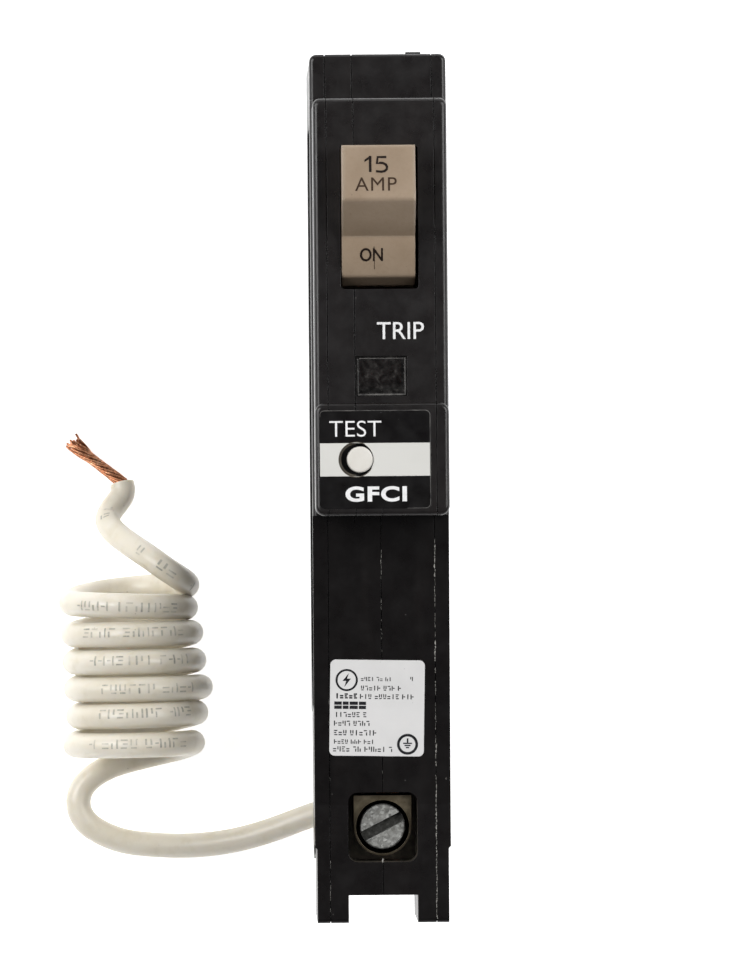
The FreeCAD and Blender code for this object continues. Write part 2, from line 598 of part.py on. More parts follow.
def sensing_cores():
    for name, y0 in [("ground_fault_core", -11.8), ("neutral_fault_core", -18.2)]:
        ring = rod_y(CORE_X, CORE_Z, CORE_R, y0, y0 + 5.6)
        ring = ring.cut(rod_y(CORE_X, CORE_Z, CORE_HOLE_R, y0 - 1, y0 + 7))
        write(name, ring)


def components():
    face = BOARD[1]
    write("film_capacitor", box(face, -1.6, -22.6, -18.8, 23.0, 29.0))
    write("electrolytic_capacitor", rod_x(-28.5, 31.5, 2.5, face, 1.5))
    write("surge_disc", rod_x(-23.0, 33.6, 3.3, face + 0.8, -2.8))
    body = rod_z(face + 1.6, -29.5, 2.3, 18.6, 22.6).cut(box(-9, face, -40, -20, 10, 30))
    write("trigger_thyristor", body)
    write("control_chip", box(face, -4.1, -14.0, -8.0, 22.0, 26.6))
    fine = [(-4.4, 5.0), (-4.4, 22.0), (-2.3, 22.0), (-6.4, 22.4)]
    write("board_resistors", Part.Compound([rod_z(face + 0.8, y, 0.8, z, z + 4.2) for y, z in fine]))
    places = [(-21.0, 6.0), (-23.2, 6.0), (-21.0, 18.6), (-23.2, 18.6)]
    write("board_diodes", Part.Compound([rod_z(face + 0.9, y, 0.9, z, z + 3.6) for y, z in places]))
    write("test_resistor", rod_z(face + 1.15, 3.0, 1.15, 38.2, 44.4))


def neutral_lead():
    points = [(EXIT_X, -28.1, EXIT_Z), (EXIT_X, -26.2, EXIT_Z), (4.3, -24.4, 10.6), (4.2, -22.0, 13.4), (1.6, -19.2, 15.4),
              (0.95, -14.0, 15.3), (0.95, -6.5, 15.1), (-0.8, -3.6, 16.8), (-3.0, -2.5, 18.6),
              (BOARD[1], -2.5, 18.6)]
    write("neutral_lead", tube(points, 1.05, "neutral_lead"))


def arm_braid():
    y, z = arm_pivot()
    tilt = math.radians(ARM_TILT)
    reach = 12.5
    hold_y = y + reach * math.sin(tilt)
    hold_z = z - reach * math.cos(tilt)
    points = [(-4.6, 3.8, 27.5), (-4.6, 9.0, 27.5), (-4.6, 16.0, 24.8), (-4.6, 24.0, 23.4),
              (-4.5, 31.0, 25.2), (-4.4, 36.6, 28.6), (-3.9, hold_y, hold_z),
              (-1.1, hold_y, hold_z)]
    write("arm_braid", tube(points, 0.85, "arm_braid"))


# ---- test button ----
def test_button():
    cap = rod_z(BUTTON_X, BUTTON_Y, BUTTON_R, 57.2, BUTTON_TOP)
    cap = cap.makeFillet(0.25, [edge for edge in cap.Edges if edge.BoundBox.ZMin > BUTTON_TOP - 0.01])
    flange = rod_z(BUTTON_X, BUTTON_Y, 2.3, 57.0, 58.2)
    stem = rod_z(BUTTON_X, BUTTON_Y, 1.1, 51.0, 57.2)
    write("test_button", joined([cap, flange, stem]))
    face = BOARD[1]
    foot = box(face, face + 0.3, 3.0, 5.0, 46.8, 50.9)
    blade = box(face, -1.6, 3.0, 5.0, 50.6, 50.9)
    write("test_contact_spring", joined([foot, blade]))
    post = joined([box(face, face + 0.3, 5.4, 7.2, 46.8, 48.9), box(face, -1.8, 3.2, 7.2, 48.6, 48.9)])
    post = post.cut(box(face - 1, face + 0.5, 2.5, 5.2, 46, 50))
    write("test_contact_post", post)


# ---- load terminal ----
def load_terminal():
    disc = rod_z(0, LUG_Y, LUG_R, LUG_BOTTOM, LUG_TOP)
    shoulder = box(-LUG_R, LUG_R, LUG_Y, -43.1, LUG_BOTTOM, LUG_TOP)
    cage = joined([disc, shoulder])
    cage = cage.cut(box(-3.2, 3.2, -60, -40, 23.55, 30.3))
    cage = cage.cut(rod_z(0, LUG_Y, LUG_HOLE_R, 32.8, LUG_TOP + 1))
    cage = cage.cut(rod_z(0, LUG_Y, SCREW_R + RUN_FIT, 30, 33))
    write("lug_cage", cage)
    head = rod_z(0, LUG_Y, SCREW_HEAD_R, 34.9, 37.0)
    head = head.makeFillet(0.3, [edge for edge in head.Edges if edge.BoundBox.ZMin > 36.9])
    slot = box(-4, 4, LUG_Y - SCREW_SLOT_HALF, LUG_Y + SCREW_SLOT_HALF, 35.7, 38)
    slot.rotate(V(0, LUG_Y, 0), V(0, 0, 1), SCREW_SLOT_ANGLE)
    shank = rod_z(0, LUG_Y, SCREW_R, 30.22, 34.9)
    write("lug_screw", joined([head, shank]).cut(slot))
    write("pressure_plate", box(-3.0, 3.0, -50.5, -44.5, 29.2, 30.2))


# ---- neutral pigtail ----
LEAD_ROUTE = [(3.5, -33.4, 9.0), (3.5, -37.2, 9.0), (2.4, -41.0, 8.8), (-0.4, -44.0, 8.3),
              (-4.6, -46.3, 7.5), (-10.1, -48.1, 6.4), (-15.6, -50.3, 5.2), (-21.4, -51.9, 4.0),
              (-27.4, -52.4, 3.0), (-32.6, -52.0, 2.5), (-36.4, -51.5, 2.2), (-39.3, -50.6, 2.0),
              (-41.6, -49.2, 1.95), (-42.9, -46.9, 1.9), (-42.7, -44.2, 1.9), (-41.2, -42.0, 1.9),
              (-38.7, -40.6, 1.9), (-35.6, -39.7, 1.9)]
TIP_ROUTE = [(-26.8, -14.8, 8.6), (-26.6, -14.2, 12.0), (-28.2, -13.4, 15.2), (-30.6, -12.1, 16.6),
             (-32.9, -10.6, 15.4), (-35.3, -8.8, 12.4), (-37.2, -7.1, 8.8), (-38.3, -5.6, 6.5),
             (-38.3, -3.8, 4.5), (-37.3, -2.4, 3.3), (-36.4, -1.2, 2.7), (-36.4, 0.3, 2.3),
             (-37.2, 1.5, 2.0)]
COPPER_ROUTE = [(-37.2, 1.5, 2.0), (-40.4, 4.0, 1.35), (-44.2, 7.4, 1.05)]


def pigtail():
    write("pigtail_lead", tube(LEAD_ROUTE, WIRE_D / 2, "pigtail_lead"))
    write("pigtail_tip", tube(TIP_ROUTE, WIRE_D / 2, "pigtail_tip"))
    write("pigtail_copper", tube(COPPER_ROUTE, 1.0, "pigtail_copper"))
    top = V(COIL_X - COIL_LEAN, COIL_TOP_Y, COIL_Z)
    bottom = V(COIL_X, COIL_BOTTOM_Y, COIL_Z)
    axis = bottom.sub(top)
    coil = Part.makeCylinder(COIL_R, axis.Length + 12, top.sub(V(axis).normalize().multiply(6)), axis)
    slab = box(-20, 20, -axis.Length, 0, -20, 20)
    slab.rotate(V(0, 0, 0), V(0, 0, 1), TURN_TILT)
    slab.translate(top)
    write("pigtail_coil", coil.common(slab))
    relief = joined([rod_y(EXIT_X, EXIT_Z, 2.6, FOOT_Y, -28.1), rod_y(EXIT_X, EXIT_Z, 3.3, FOOT_Y - 1.4, FOOT_Y)])
    relief = relief.cut(rod_y(EXIT_X, EXIT_Z, 1.05, -40, -20))
    write("strain_relief", relief)


os.makedirs("parts", exist_ok=True)
casing()
rivets()
labels()
trip_window()
handle()
pivot_pins()
contact_arm()
line_terminal()
cradle()
trip_flag()
arc_chute()
trip_unit()
load_strap()
solenoid()
circuit_board()
sensing_cores()
components()
neutral_lead()
arm_braid()
test_button()
load_terminal()
pigtail()
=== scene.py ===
import bisect
import math
import random

import bmesh
import bpy
from mathutils import Matrix, Vector


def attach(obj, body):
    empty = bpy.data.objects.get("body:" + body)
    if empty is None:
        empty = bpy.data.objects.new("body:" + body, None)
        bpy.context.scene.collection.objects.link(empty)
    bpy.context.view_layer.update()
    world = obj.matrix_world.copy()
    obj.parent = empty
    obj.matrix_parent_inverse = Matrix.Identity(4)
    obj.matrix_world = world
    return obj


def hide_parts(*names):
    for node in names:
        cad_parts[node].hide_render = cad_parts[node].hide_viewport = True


# A plug-on ground-fault breaker with a coiled neutral pigtail, lying on its back.
# X is the width, +Y the line end, +Z the handle side. Lengths are in millimetres, apart from the stage.

MM = 0.001
SEED = 11

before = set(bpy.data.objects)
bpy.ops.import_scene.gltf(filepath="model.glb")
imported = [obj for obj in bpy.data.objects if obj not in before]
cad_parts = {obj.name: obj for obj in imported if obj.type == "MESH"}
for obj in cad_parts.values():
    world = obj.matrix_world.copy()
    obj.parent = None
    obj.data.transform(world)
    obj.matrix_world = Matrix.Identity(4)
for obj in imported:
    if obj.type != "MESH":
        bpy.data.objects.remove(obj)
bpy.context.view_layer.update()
scene = bpy.context.scene

# ---- where things are on the CAD parts, in millimetres ----
PLATFORM_Z = 60.3
FILM_TOP = 61.78
LENS_TOP = 60.35
# height of the painted highlight arc inside the test button's hole
WELL_GLINT_Z = 61.3
HANDLE_AXIS = (38.0, 51.5)
HANDLE_TILT = math.radians(18.3)
LEVER_END = 17.0
SHROUD_R = 15.0
SHROUD_DROP = 5.0
BUTTON_HOLE = (-3.6, 4.0, 2.35)
RATING_CENTRE = (-0.7, -30.7)
RATING_TURN = math.radians(-1.1)
RATING_TOP = 0.03
WIRE_R = 1.8
LUG_TOP = 38.2
LUG_SHADE_Y = -44.6
SCREW_TOP = 37.0
DECK_FLAT_Y = -44.3
DECK_Z = 40.5
DECK_SLOPE = math.atan(3.5 / 40.55)
# where a shaded region fades in or out: the step up to the platform; and where painted fill light, partly
# standing for dust, fades in or out in the well round the lug screw
STEP_Z = (43.8, 45.6)
WELL_HALF = (6.4, 6.6)
WELL_Y = (-39.3, -40.2, -55.8, -57.0)
WELL_Z = (39.3, 40.08)


# ---- materials ----
NOISE_ROUGHNESS = 0.55
BEVEL_SAMPLES = 4
METAL_GRAIN = 0.8
ZINC_CRYSTAL = 0.36


class Shader:
    """A small wrapper that builds one procedural material."""

    def __init__(self, name, **sockets):
        self.material = bpy.data.materials.new(name)
        self.material.use_nodes = True
        self.tree = self.material.node_tree
        self.bsdf = self.tree.nodes["Principled BSDF"]
        for socket, value in sockets.items():
            self.bsdf.inputs[socket.replace("_", " ")].default_value = value
        self.normal = None

    def add(self, kind, **values):
        node = self.tree.nodes.new("ShaderNode" + kind)
        for key, value in values.items():
            setattr(node, key, value)
        return node

    def link(self, source, target):
        self.tree.links.new(source, target)

    def coords(self, stretch=(1, 1, 1), turn=(0, 0, 0)):
        mapping = self.add("Mapping")
        mapping.inputs["Scale"].default_value = stretch
        mapping.inputs["Rotation"].default_value = turn
        self.link(self.add("TexCoord").outputs["Object"], mapping.inputs["Vector"])
        return mapping.outputs["Vector"]

    def noise(self, size, detail=3.0, stretch=(1, 1, 1), turn=(0, 0, 0), warp=0.0):
        """Noise whose features are about size millimetres across."""
        node = self.add("TexNoise")
        node.inputs["Scale"].default_value = 1 / (size * MM)
        node.inputs["Detail"].default_value = detail
        node.inputs["Roughness"].default_value = NOISE_ROUGHNESS
        node.inputs["Distortion"].default_value = warp
        self.link(self.coords(stretch, turn), node.inputs["Vector"])
        return node.outputs["Fac"]

    def spots(self, size, radius, keep):
        """Scattered round spots: 1 inside a spot, 0 outside. keep is the share of cells left empty."""
        node = self.add("TexVoronoi")
        node.inputs["Scale"].default_value = 1 / (size * MM)
        self.link(self.coords(), node.inputs["Vector"])
        near = self.ramp(node.outputs["Distance"], [(radius, 1), (radius * 1.4, 0)])
        chosen = self.add("SeparateColor")
        self.link(node.outputs["Color"], chosen.inputs["Color"])
        some = self.ramp(chosen.outputs["Red"], [(keep, 0), (keep + 0.02, 1)])
        return self.math("MULTIPLY", near, some)

    def ramp(self, source, stops):
        """A colour ramp; a stop's value is a grey number or an RGB triple."""
        node = self.add("ValToRGB")
        elements = node.color_ramp.elements
        while len(elements) < len(stops):
            elements.new(0.5)
        for element, (place, value) in zip(elements, stops):
            element.position = place
            rgb = value if hasattr(value, "__len__") else (value,) * 3
            element.color = (*rgb, 1)
        self.link(source, node.inputs["Fac"])
        return node.outputs["Color"]

    def axes(self):
        """The separate X, Y and Z of the object's own coordinates, in metres."""
        parts = self.add("SeparateXYZ")
        self.link(self.coords(), parts.inputs["Vector"])
        return parts.outputs

    def along(self, axis, span, stops):
        """A ramp along one axis; stops are in millimetres, from 0 to span, which may be negative."""
        share = self.math("MULTIPLY", axis, 1 / (span * MM))
        return self.ramp(share, [(place / span, value) for place, value in stops])

    def depth(self, axis, start, reach, most):
        """0 above start millimetres on an axis, rising to most at reach millimetres below it."""
        sunk = self.math("SUBTRACT", start * MM, axis)
        return self.ramp(self.math("MULTIPLY", sunk, 1 / (reach * MM)), [(0.0, 0), (1.0, most)])

    def math(self, operation, a, b=None):
        node = self.add("Math", operation=operation)
        for socket, value in zip(node.inputs, (a, b)):
            if value is None:
                continue
            if isinstance(value, (int, float)):
                socket.default_value = value
            else:
                self.link(value, socket)
        return node.outputs["Value"]

    def mix(self, fac, a, b):
        node = self.add("Mix", data_type="RGBA")
        ports = {s.identifier: s for s in node.inputs}
        for port, value in (("Factor_Float", fac), ("A_Color", a), ("B_Color", b)):
            if hasattr(value, "__len__"):
                ports[port].default_value = (*value, 1)
            elif isinstance(value, (int, float)):
                ports[port].default_value = value
            else:
                self.link(value, ports[port])
        return [s for s in node.outputs if s.identifier == "Result_Color"][0]

    def colour(self, output):
        self.link(output, self.bsdf.inputs["Base Color"])

    def roughness(self, output):
        self.link(output, self.bsdf.inputs["Roughness"])

    def bump(self, height, distance):
        """Adds a bump of the given depth in millimetres over what is already there."""
        node = self.add("Bump")
        node.inputs["Strength"].default_value = 1.0
        node.inputs["Distance"].default_value = distance * MM
        self.link(height, node.inputs["Height"])
        if self.normal is not None:
            self.link(self.normal, node.inputs["Normal"])
        self.normal = node.outputs["Normal"]
        self.link(self.normal, self.bsdf.inputs["Normal"])

    def soft_edges(self, radius):
        """Rounds the shading over sharp edges by a radius in millimetres."""
        node = self.add("Bevel", samples=BEVEL_SAMPLES)
        node.inputs["Radius"].default_value = radius * MM
        self.normal = node.outputs["Normal"]
        self.link(self.normal, self.bsdf.inputs["Normal"])

    def sharp_edge_mask(self, radius, low, high):
        """A mask that is 1 along sharp edges, where the rounded normal leaves the true one."""
        bevel = self.add("Bevel", samples=BEVEL_SAMPLES)
        bevel.inputs["Radius"].default_value = radius * MM
        dot = self.add("VectorMath", operation="DOT_PRODUCT")
        self.link(bevel.outputs["Normal"], dot.inputs[0])
        self.link(self.add("NewGeometry").outputs["Normal"], dot.inputs[1])
        return self.ramp(dot.outputs["Value"], [(low, 1), (high, 0)])


def linear(r, g, b):
    """An sRGB colour of 0 to 255 as linear values."""
    def one(c):
        c = c / 255
        return c / 12.92 if c <= 0.04045 else ((c + 0.055) / 1.055) ** 2.4
    return one(r), one(g), one(b)


def black_plastic():
    """Scuffed black mouldings: duller and darker on the deck, with edges painted paler as partly wear and
    partly highlight, and painted lighter inside the screw's well as fill light that partly stands for dust.
    """
    s = Shader("black_plastic", Roughness=0.3, IOR=1.48)
    s.soft_edges(0.09)
    tone = s.ramp(s.noise(14, 4), [(0.3, linear(15, 12, 12)), (0.7, linear(23, 20, 20))])
    grain = s.mix(s.ramp(s.noise(0.9, 2), [(0.45, 0), (0.62, 0.3)]), tone, linear(29, 26, 26))
    haze = s.ramp(s.noise(5, 3, stretch=(1.6, 0.22, 0.22)), [(0.5, 0), (0.72, 0.35)])
    hazed = s.mix(haze, grain, linear(38, 34, 33))
    dust = s.spots(1.7, 0.05, keep=0.78)
    dusted = s.mix(s.math("MULTIPLY", dust, 0.4), hazed, linear(120, 118, 116))
    scratch = s.ramp(s.noise(0.55, 2, stretch=(1, 0.035, 0.035), turn=(0.1, 0.2, 0.12)),
                     [(0.71, 0), (0.76, 1)])
    cloudy = s.ramp(s.noise(9, 3), [(0.48, 0), (0.62, 1)])
    scratched = s.mix(s.math("MULTIPLY", s.math("MULTIPLY", scratch, cloudy), 0.2), dusted,
                      linear(80, 78, 80))
    # Edges are painted paler: partly rubbed wear, partly a painted highlight.
    edge_wear_and_highlight = s.sharp_edge_mask(0.14, 0.9, 0.992)
    edge_sheen_and_wear = s.math("MULTIPLY", edge_wear_and_highlight, s.ramp(s.noise(1.6, 4), [(0.4, 0.0), (0.7, 0.12)]))
    axes = s.axes()
    raised = s.along(axes["Z"], 60, [(STEP_Z[0], 0), (STEP_Z[1], 1)])
    deck_tone = s.mix(0.45, scratched, linear(6, 5, 5))
    toned = s.mix(raised, deck_tone, scratched)
    # Inside the lug screw's well the walls are painted lighter: painted fill light, partly dust.
    beside = s.along(s.math("ABSOLUTE", axes["X"]), 10, [(WELL_HALF[0], 1), (WELL_HALF[1], 0)])
    past = s.along(axes["Y"], -60, [(WELL_Y[0], 0), (WELL_Y[1], 1), (WELL_Y[2], 1), (WELL_Y[3], 0)])
    under = s.along(axes["Z"], 60, [(WELL_Z[0], 1), (WELL_Z[1], 0)])
    in_well = s.math("MULTIPLY", s.math("MULTIPLY", beside, past), under)
    well_fill_light_and_dust = s.mix(s.ramp(s.noise(1.2, 4), [(0.35, 0), (0.7, 1)]), linear(92, 87, 80), linear(132, 126, 114))
    welled = s.mix(in_well, toned, well_fill_light_and_dust)
    s.colour(s.mix(edge_sheen_and_wear, welled, linear(84, 82, 84)))
    s.link(s.ramp(raised, [(0.0, 0.32), (1.0, 0.48)]), s.bsdf.inputs["Specular IOR Level"])
    s.roughness(s.ramp(s.noise(3, 4), [(0.3, 0.24), (0.75, 0.38)]))
    s.bump(s.noise(0.22, 2), 0.01)
    s.bump(s.noise(6, 2), 0.04)
    return s.material


def tan_plastic():
    """The handle's plastic, with a painted highlight along its edges in patches."""
    s = Shader("tan_plastic", Roughness=0.42, IOR=1.46)
    s.soft_edges(0.5)
    tone = s.ramp(s.noise(7, 4), [(0.3, linear(141, 123, 103)), (0.7, linear(155, 137, 117))])
    grain = s.mix(s.ramp(s.noise(0.5, 2), [(0.5, 0), (0.7, 0.3)]), tone, linear(137, 117, 96))
    speck = s.spots(1.3, 0.07, keep=0.7)
    specked = s.mix(s.math("MULTIPLY", speck, 0.3), grain, linear(84, 68, 52))
    patches = s.ramp(s.noise(2.5, 3), [(0.3, 0.3), (0.6, 0.75)])
    # The edges are painted paler: a painted highlight, in patches.
    edge_wear_and_highlight = s.math("MULTIPLY", s.sharp_edge_mask(0.3, 0.86, 0.995), patches)
    s.colour(s.mix(edge_wear_and_highlight, specked, linear(186, 170, 150)))
    s.roughness(s.ramp(s.noise(2.5, 3), [(0.3, 0.36), (0.7, 0.5)]))
    s.bump(s.noise(0.2, 2), 0.01)
    return s.material


def moulded(name, dark, light, roughness=0.4, size=3.0, bump=0.01):
    """Plain moulded or painted material with fine mottling."""
    s = Shader(name, Roughness=roughness)
    s.soft_edges(0.08)
    tone = s.ramp(s.noise(size, 4), [(0.3, linear(*dark)), (0.7, linear(*light))])
    speck = s.spots(1.1, 0.06, keep=0.8)
    s.colour(s.mix(s.math("MULTIPLY", speck, 0.25), tone, linear(*[0.6 * c for c in dark])))
    s.roughness(s.ramp(s.noise(size * 0.6, 3), [(0.3, roughness * 0.85), (0.7, roughness * 1.2)]))
    s.bump(s.noise(0.25, 2), bump)
    return s.material


def metal(name, dark, light, roughness, brushed=(1, 1, 1)):
    """Plain metal with a fine grain, stretched along one axis where it is brushed."""
    s = Shader(name, Metallic=1.0, Roughness=roughness)
    s.soft_edges(0.08)
    grain = s.noise(METAL_GRAIN, 4, stretch=brushed)
    tone = s.ramp(grain, [(0.3, linear(*dark)), (0.7, linear(*light))])
    stain = s.ramp(s.noise(3.5, 4), [(0.42, 0), (0.7, 0.5)])
    s.colour(s.mix(stain, tone, linear(*[0.72 * c for c in dark])))
    s.roughness(s.ramp(s.noise(METAL_GRAIN * 1.7, 3), [(0.3, roughness * 0.75), (0.7, roughness * 1.35)]))
    s.bump(grain, 0.008)
    return s.material


def crystal_zinc():
    """Dull zinc plating with large crystalline grains."""
    s = Shader("zinc_screw", Metallic=0.7, Roughness=0.45)
    s.soft_edges(0.12)
    cell = s.add("TexVoronoi")
    cell.inputs["Scale"].default_value = 1 / (ZINC_CRYSTAL * MM)
    s.link(s.coords(), cell.inputs["Vector"])
    parts = s.add("SeparateColor")
    s.link(cell.outputs["Color"], parts.inputs["Color"])
    tone = s.ramp(parts.outputs["Red"], [(0.0, linear(150, 150, 147)), (0.55, linear(184, 184, 180)),
                                         (1.0, linear(224, 225, 221))])
    cloud = s.mix(s.ramp(s.noise(1.4, 4), [(0.42, 0), (0.7, 0.5)]), tone, linear(118, 116, 110))
    # Below the head's top the colour is painted dark: painted shade in the slot.
    inside = s.depth(s.axes()["Z"], SCREW_TOP - 0.3, 0.8, 0.88)
    slot_shade = s.mix(inside, cloud, linear(42, 41, 38))
    # Edges are painted near white: partly rubbed wear, partly a painted highlight.
    patches = s.ramp(s.noise(0.8, 3), [(0.4, 0.15), (0.6, 1)])
    edge_wear_and_highlight = s.math("MULTIPLY", s.sharp_edge_mask(0.14, 0.84, 0.985), patches)
    edge_lit_and_worn = s.mix(edge_wear_and_highlight, slot_shade, linear(240, 240, 236))
    s.colour(s.mix(0.2, edge_lit_and_worn, linear(34, 38, 28)))
    s.roughness(s.ramp(parts.outputs["Green"], [(0, 0.34), (1, 0.6)]))
    s.bump(parts.outputs["Blue"], 0.025)
    s.bump(s.noise(0.3, 3), 0.015)
    return s.material


def wire_insulation():
    """Soft off-white insulation, slightly see-through and a little grubby."""
    s = Shader("pigtail_insulation", Roughness=0.33, IOR=1.5, Subsurface_Weight=0.4,
               Subsurface_Scale=1.2 * MM, Coat_Weight=0.15, Coat_Roughness=0.2)
    s.bsdf.inputs["Subsurface Radius"].default_value = (1.0, 0.85, 0.6)
    tone = s.ramp(s.noise(9, 3), [(0.35, linear(224, 217, 200)), (0.65, linear(232, 226, 212))])
    grime = s.ramp(s.noise(2.4, 4), [(0.52, 0), (0.74, 0.35)])
    dirty = s.mix(grime, tone, linear(198, 187, 158))
    speck = s.spots(1.5, 0.06, keep=0.75)
    s.colour(s.mix(s.math("MULTIPLY", speck, 0.35), dirty, linear(120, 108, 84)))
    s.roughness(s.ramp(s.noise(2, 3), [(0.3, 0.28), (0.7, 0.42)]))
    s.bump(s.noise(3.2, 2), 0.05)
    s.bump(s.noise(0.35, 2), 0.006)
    return s.material


def strand_copper():
    """Bright copper with tarnished patches."""
    s = Shader("strand_copper", Metallic=1.0, Roughness=0.28)
    tone = s.ramp(s.noise(1.4, 4), [(0.3, linear(158, 98, 66)), (0.6, linear(208, 148, 112)),
                                    (0.8, linear(238, 196, 164))])
    s.colour(s.mix(s.ramp(s.noise(0.5, 3), [(0.5, 0), (0.72, 0.7)]), tone, linear(84, 50, 34)))
    s.roughness(s.ramp(s.noise(0.4, 3), [(0.3, 0.2), (0.7, 0.42)]))
    s.bump(s.noise(0.15, 2), 0.006)
    return s.material


def clear_lens():
    """A clear window that lets light in to the flag behind it, with faint smears."""
    s = Shader("clear_lens", Roughness=0.12, IOR=1.49)
    s.soft_edges(0.1)
    smear = s.noise(1.1, 4, warp=0.6)
    s.colour(s.ramp(smear, [(0.4, linear(30, 29, 29)), (0.58, linear(60, 58, 57)),
                            (0.76, linear(104, 101, 98))]))
    s.link(s.ramp(smear, [(0.4, 0.18), (0.76, 0.42)]), s.bsdf.inputs["Alpha"])
    s.roughness(s.ramp(s.noise(1.2, 3), [(0.35, 0.12), (0.7, 0.25)]))
    s.bump(s.noise(1.5, 2), 0.02)
    return s.material


def printed_black():
    """The glossy printed film round the test button."""
    s = Shader("black_label", Roughness=0.3, IOR=1.36)
    s.soft_edges(0.05)
    tone = s.ramp(s.noise(5, 4), [(0.3, linear(5, 3, 4)), (0.7, linear(9, 7, 7))])
    speck = s.spots(1.2, 0.05, keep=0.7)
    s.colour(s.mix(s.math("MULTIPLY", speck, 0.5), tone, linear(84, 82, 84)))
    s.roughness(s.ramp(s.noise(2, 3), [(0.3, 0.26), (0.7, 0.4)]))
    s.bump(s.noise(0.3, 2), 0.004)
    return s.material


def ink(name, colour, wear=0.12, under=(40, 40, 40)):
    """Pad-printed ink with slightly uneven cover."""
    s = Shader(name, Roughness=0.5, IOR=1.3)
    tone = s.ramp(s.noise(0.5, 3), [(0.3, linear(*[0.93 * c for c in colour])), (0.7, linear(*colour))])
    thin = s.ramp(s.noise(0.18, 3), [(0.62, 0), (0.78, wear)])
    s.colour(s.mix(thin, tone, linear(*under)))
    s.bump(s.noise(0.2, 2), 0.003)
    return s.material


def lug_metal():
    """Dull brassy plating, with painted shade inside the screw's well and towards the load end, and edges
    painted paler as partly wear and partly highlight.
    """
    s = Shader("lug_metal", Metallic=0.9, Roughness=0.45)
    s.soft_edges(0.1)
    tone = s.ramp(s.noise(0.8, 4), [(0.3, linear(92, 84, 68)), (0.7, linear(120, 110, 92))])
    stain = s.mix(s.ramp(s.noise(2.2, 4), [(0.42, 0), (0.68, 0.6)]), tone, linear(80, 70, 54))
    # Edges are painted paler: partly rubbed wear, partly a painted highlight.
    edge_wear_and_highlight = s.math("MULTIPLY", s.sharp_edge_mask(0.12, 0.88, 0.99), 0.6)
    edge_lit_and_worn = s.mix(edge_wear_and_highlight, stain, linear(190, 178, 152))
    axes = s.axes()
    # Below the lug's top the colour is painted near black: painted shade in the screw's well.
    inside = s.depth(axes["Z"], LUG_TOP - 0.12, 0.5, 1)
    # Towards the load end the plating is painted darker: painted shade.
    far = s.depth(axes["Y"], LUG_SHADE_Y, 3.0, 0.72)
    far_end_shade = s.mix(far, edge_lit_and_worn, linear(46, 40, 32))
    s.colour(s.mix(inside, far_end_shade, linear(22, 19, 15)))
    s.roughness(s.ramp(s.noise(1.3, 3), [(0.3, 0.36), (0.7, 0.56)]))
    s.bump(s.noise(0.5, 3), 0.012)
    return s.material


def patchy_print_and_highlight(name, colour, under):
    """Colour worn away in patches to an under colour: print on the wire, and painted highlight lines along
    rims.
    """
    s = Shader(name, Roughness=0.45)
    gone = s.ramp(s.noise(1.6, 4), [(0.38, 0.1), (0.66, 0.95)])
    broken = s.mix(s.ramp(s.noise(0.25, 3), [(0.5, 0), (0.7, 0.6)]), linear(*colour), linear(*under))
    s.colour(s.mix(gone, broken, linear(*under)))
    s.bump(s.noise(0.2, 2), 0.003)
    return s.material


MATERIALS = {
    "black_plastic": black_plastic(),
    "tan_plastic": tan_plastic(),
    "white_plastic": moulded("white_plastic", (212, 208, 200), (222, 219, 212), 0.4),
    "clear_plastic": clear_lens(),
    "flag_plastic": moulded("flag_plastic", (196, 44, 26), (214, 58, 36), 0.4),
    "black_label": printed_black(),
    "white_label": moulded("white_label", (214, 213, 212), (222, 221, 220), 0.45, 6.0, 0.003),
    "zinc_steel": metal("zinc_steel", (150, 150, 148), (196, 196, 192), 0.35),
    "lug_metal": lug_metal(),
    "spring_steel": metal("spring_steel", (120, 120, 122), (172, 172, 174), 0.3),
    "copper": metal("copper", (158, 84, 52), (206, 128, 88), 0.3),
    "contact_silver": metal("contact_silver", (186, 186, 182), (226, 226, 222), 0.3),
    "enamelled_copper": metal("enamelled_copper", (120, 46, 20), (168, 76, 38), 0.25, (1, 1, 6)),
    "bimetal": metal("bimetal", (120, 112, 96), (166, 158, 140), 0.35, (1, 1, 0.2)),
    "fibre": moulded("fibre", (92, 62, 44), (124, 88, 62), 0.7, 1.2, 0.03),
    "board_green": moulded("board_green", (16, 66, 36), (26, 88, 50), 0.35, 2.0),
    "core_plastic": moulded("core_plastic", (30, 34, 60), (40, 46, 80), 0.4),
    "component_body": moulded("component_body", (26, 26, 28), (40, 40, 42), 0.45),
    "capacitor_film": moulded("capacitor_film", (150, 84, 30), (186, 112, 46), 0.3),
    "bobbin_nylon": moulded("bobbin_nylon", (196, 190, 170), (216, 210, 192), 0.45),
    "pigtail_insulation": wire_insulation(),
}
COPPER_STRAND = strand_copper()
SCREW_ZINC = crystal_zinc()
WHITE_INK = ink("white_ink", (238, 238, 238))
BAND_INK = moulded("band_ink", (208, 207, 202), (213, 212, 207), 0.4, 9.0, 0.001)
BROWN_INK = ink("brown_ink", (24, 13, 7), 0.06, (110, 90, 72))
FADED_INK = ink("faded_ink", (58, 42, 30), 0.25, (120, 102, 84))
LABEL_INK = ink("label_ink", (30, 30, 34), 0.2, (200, 200, 200))
WIRE_INK = patchy_print_and_highlight("wire_ink", (150, 149, 138), (214, 208, 193))
# rim_grey draws painted highlight lines along the film's and the lens's edges.
RIM_GREY = patchy_print_and_highlight("rim_grey", (104, 102, 99), (34, 32, 32))
WELL_BROWN = moulded("well_brown", (74, 68, 58), (104, 96, 84), 0.45, 0.8)
BURR = moulded("burr", (104, 102, 98), (172, 169, 163), 0.6, 0.6)

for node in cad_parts.values():
    for place in node.material_slots:
        kind = place.material.name.split(".")[0] if place.material else None
        if kind in MATERIALS:
            place.material = MATERIALS[kind]
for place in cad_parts["lug_screw"].material_slots:
    place.material = SCREW_ZINC


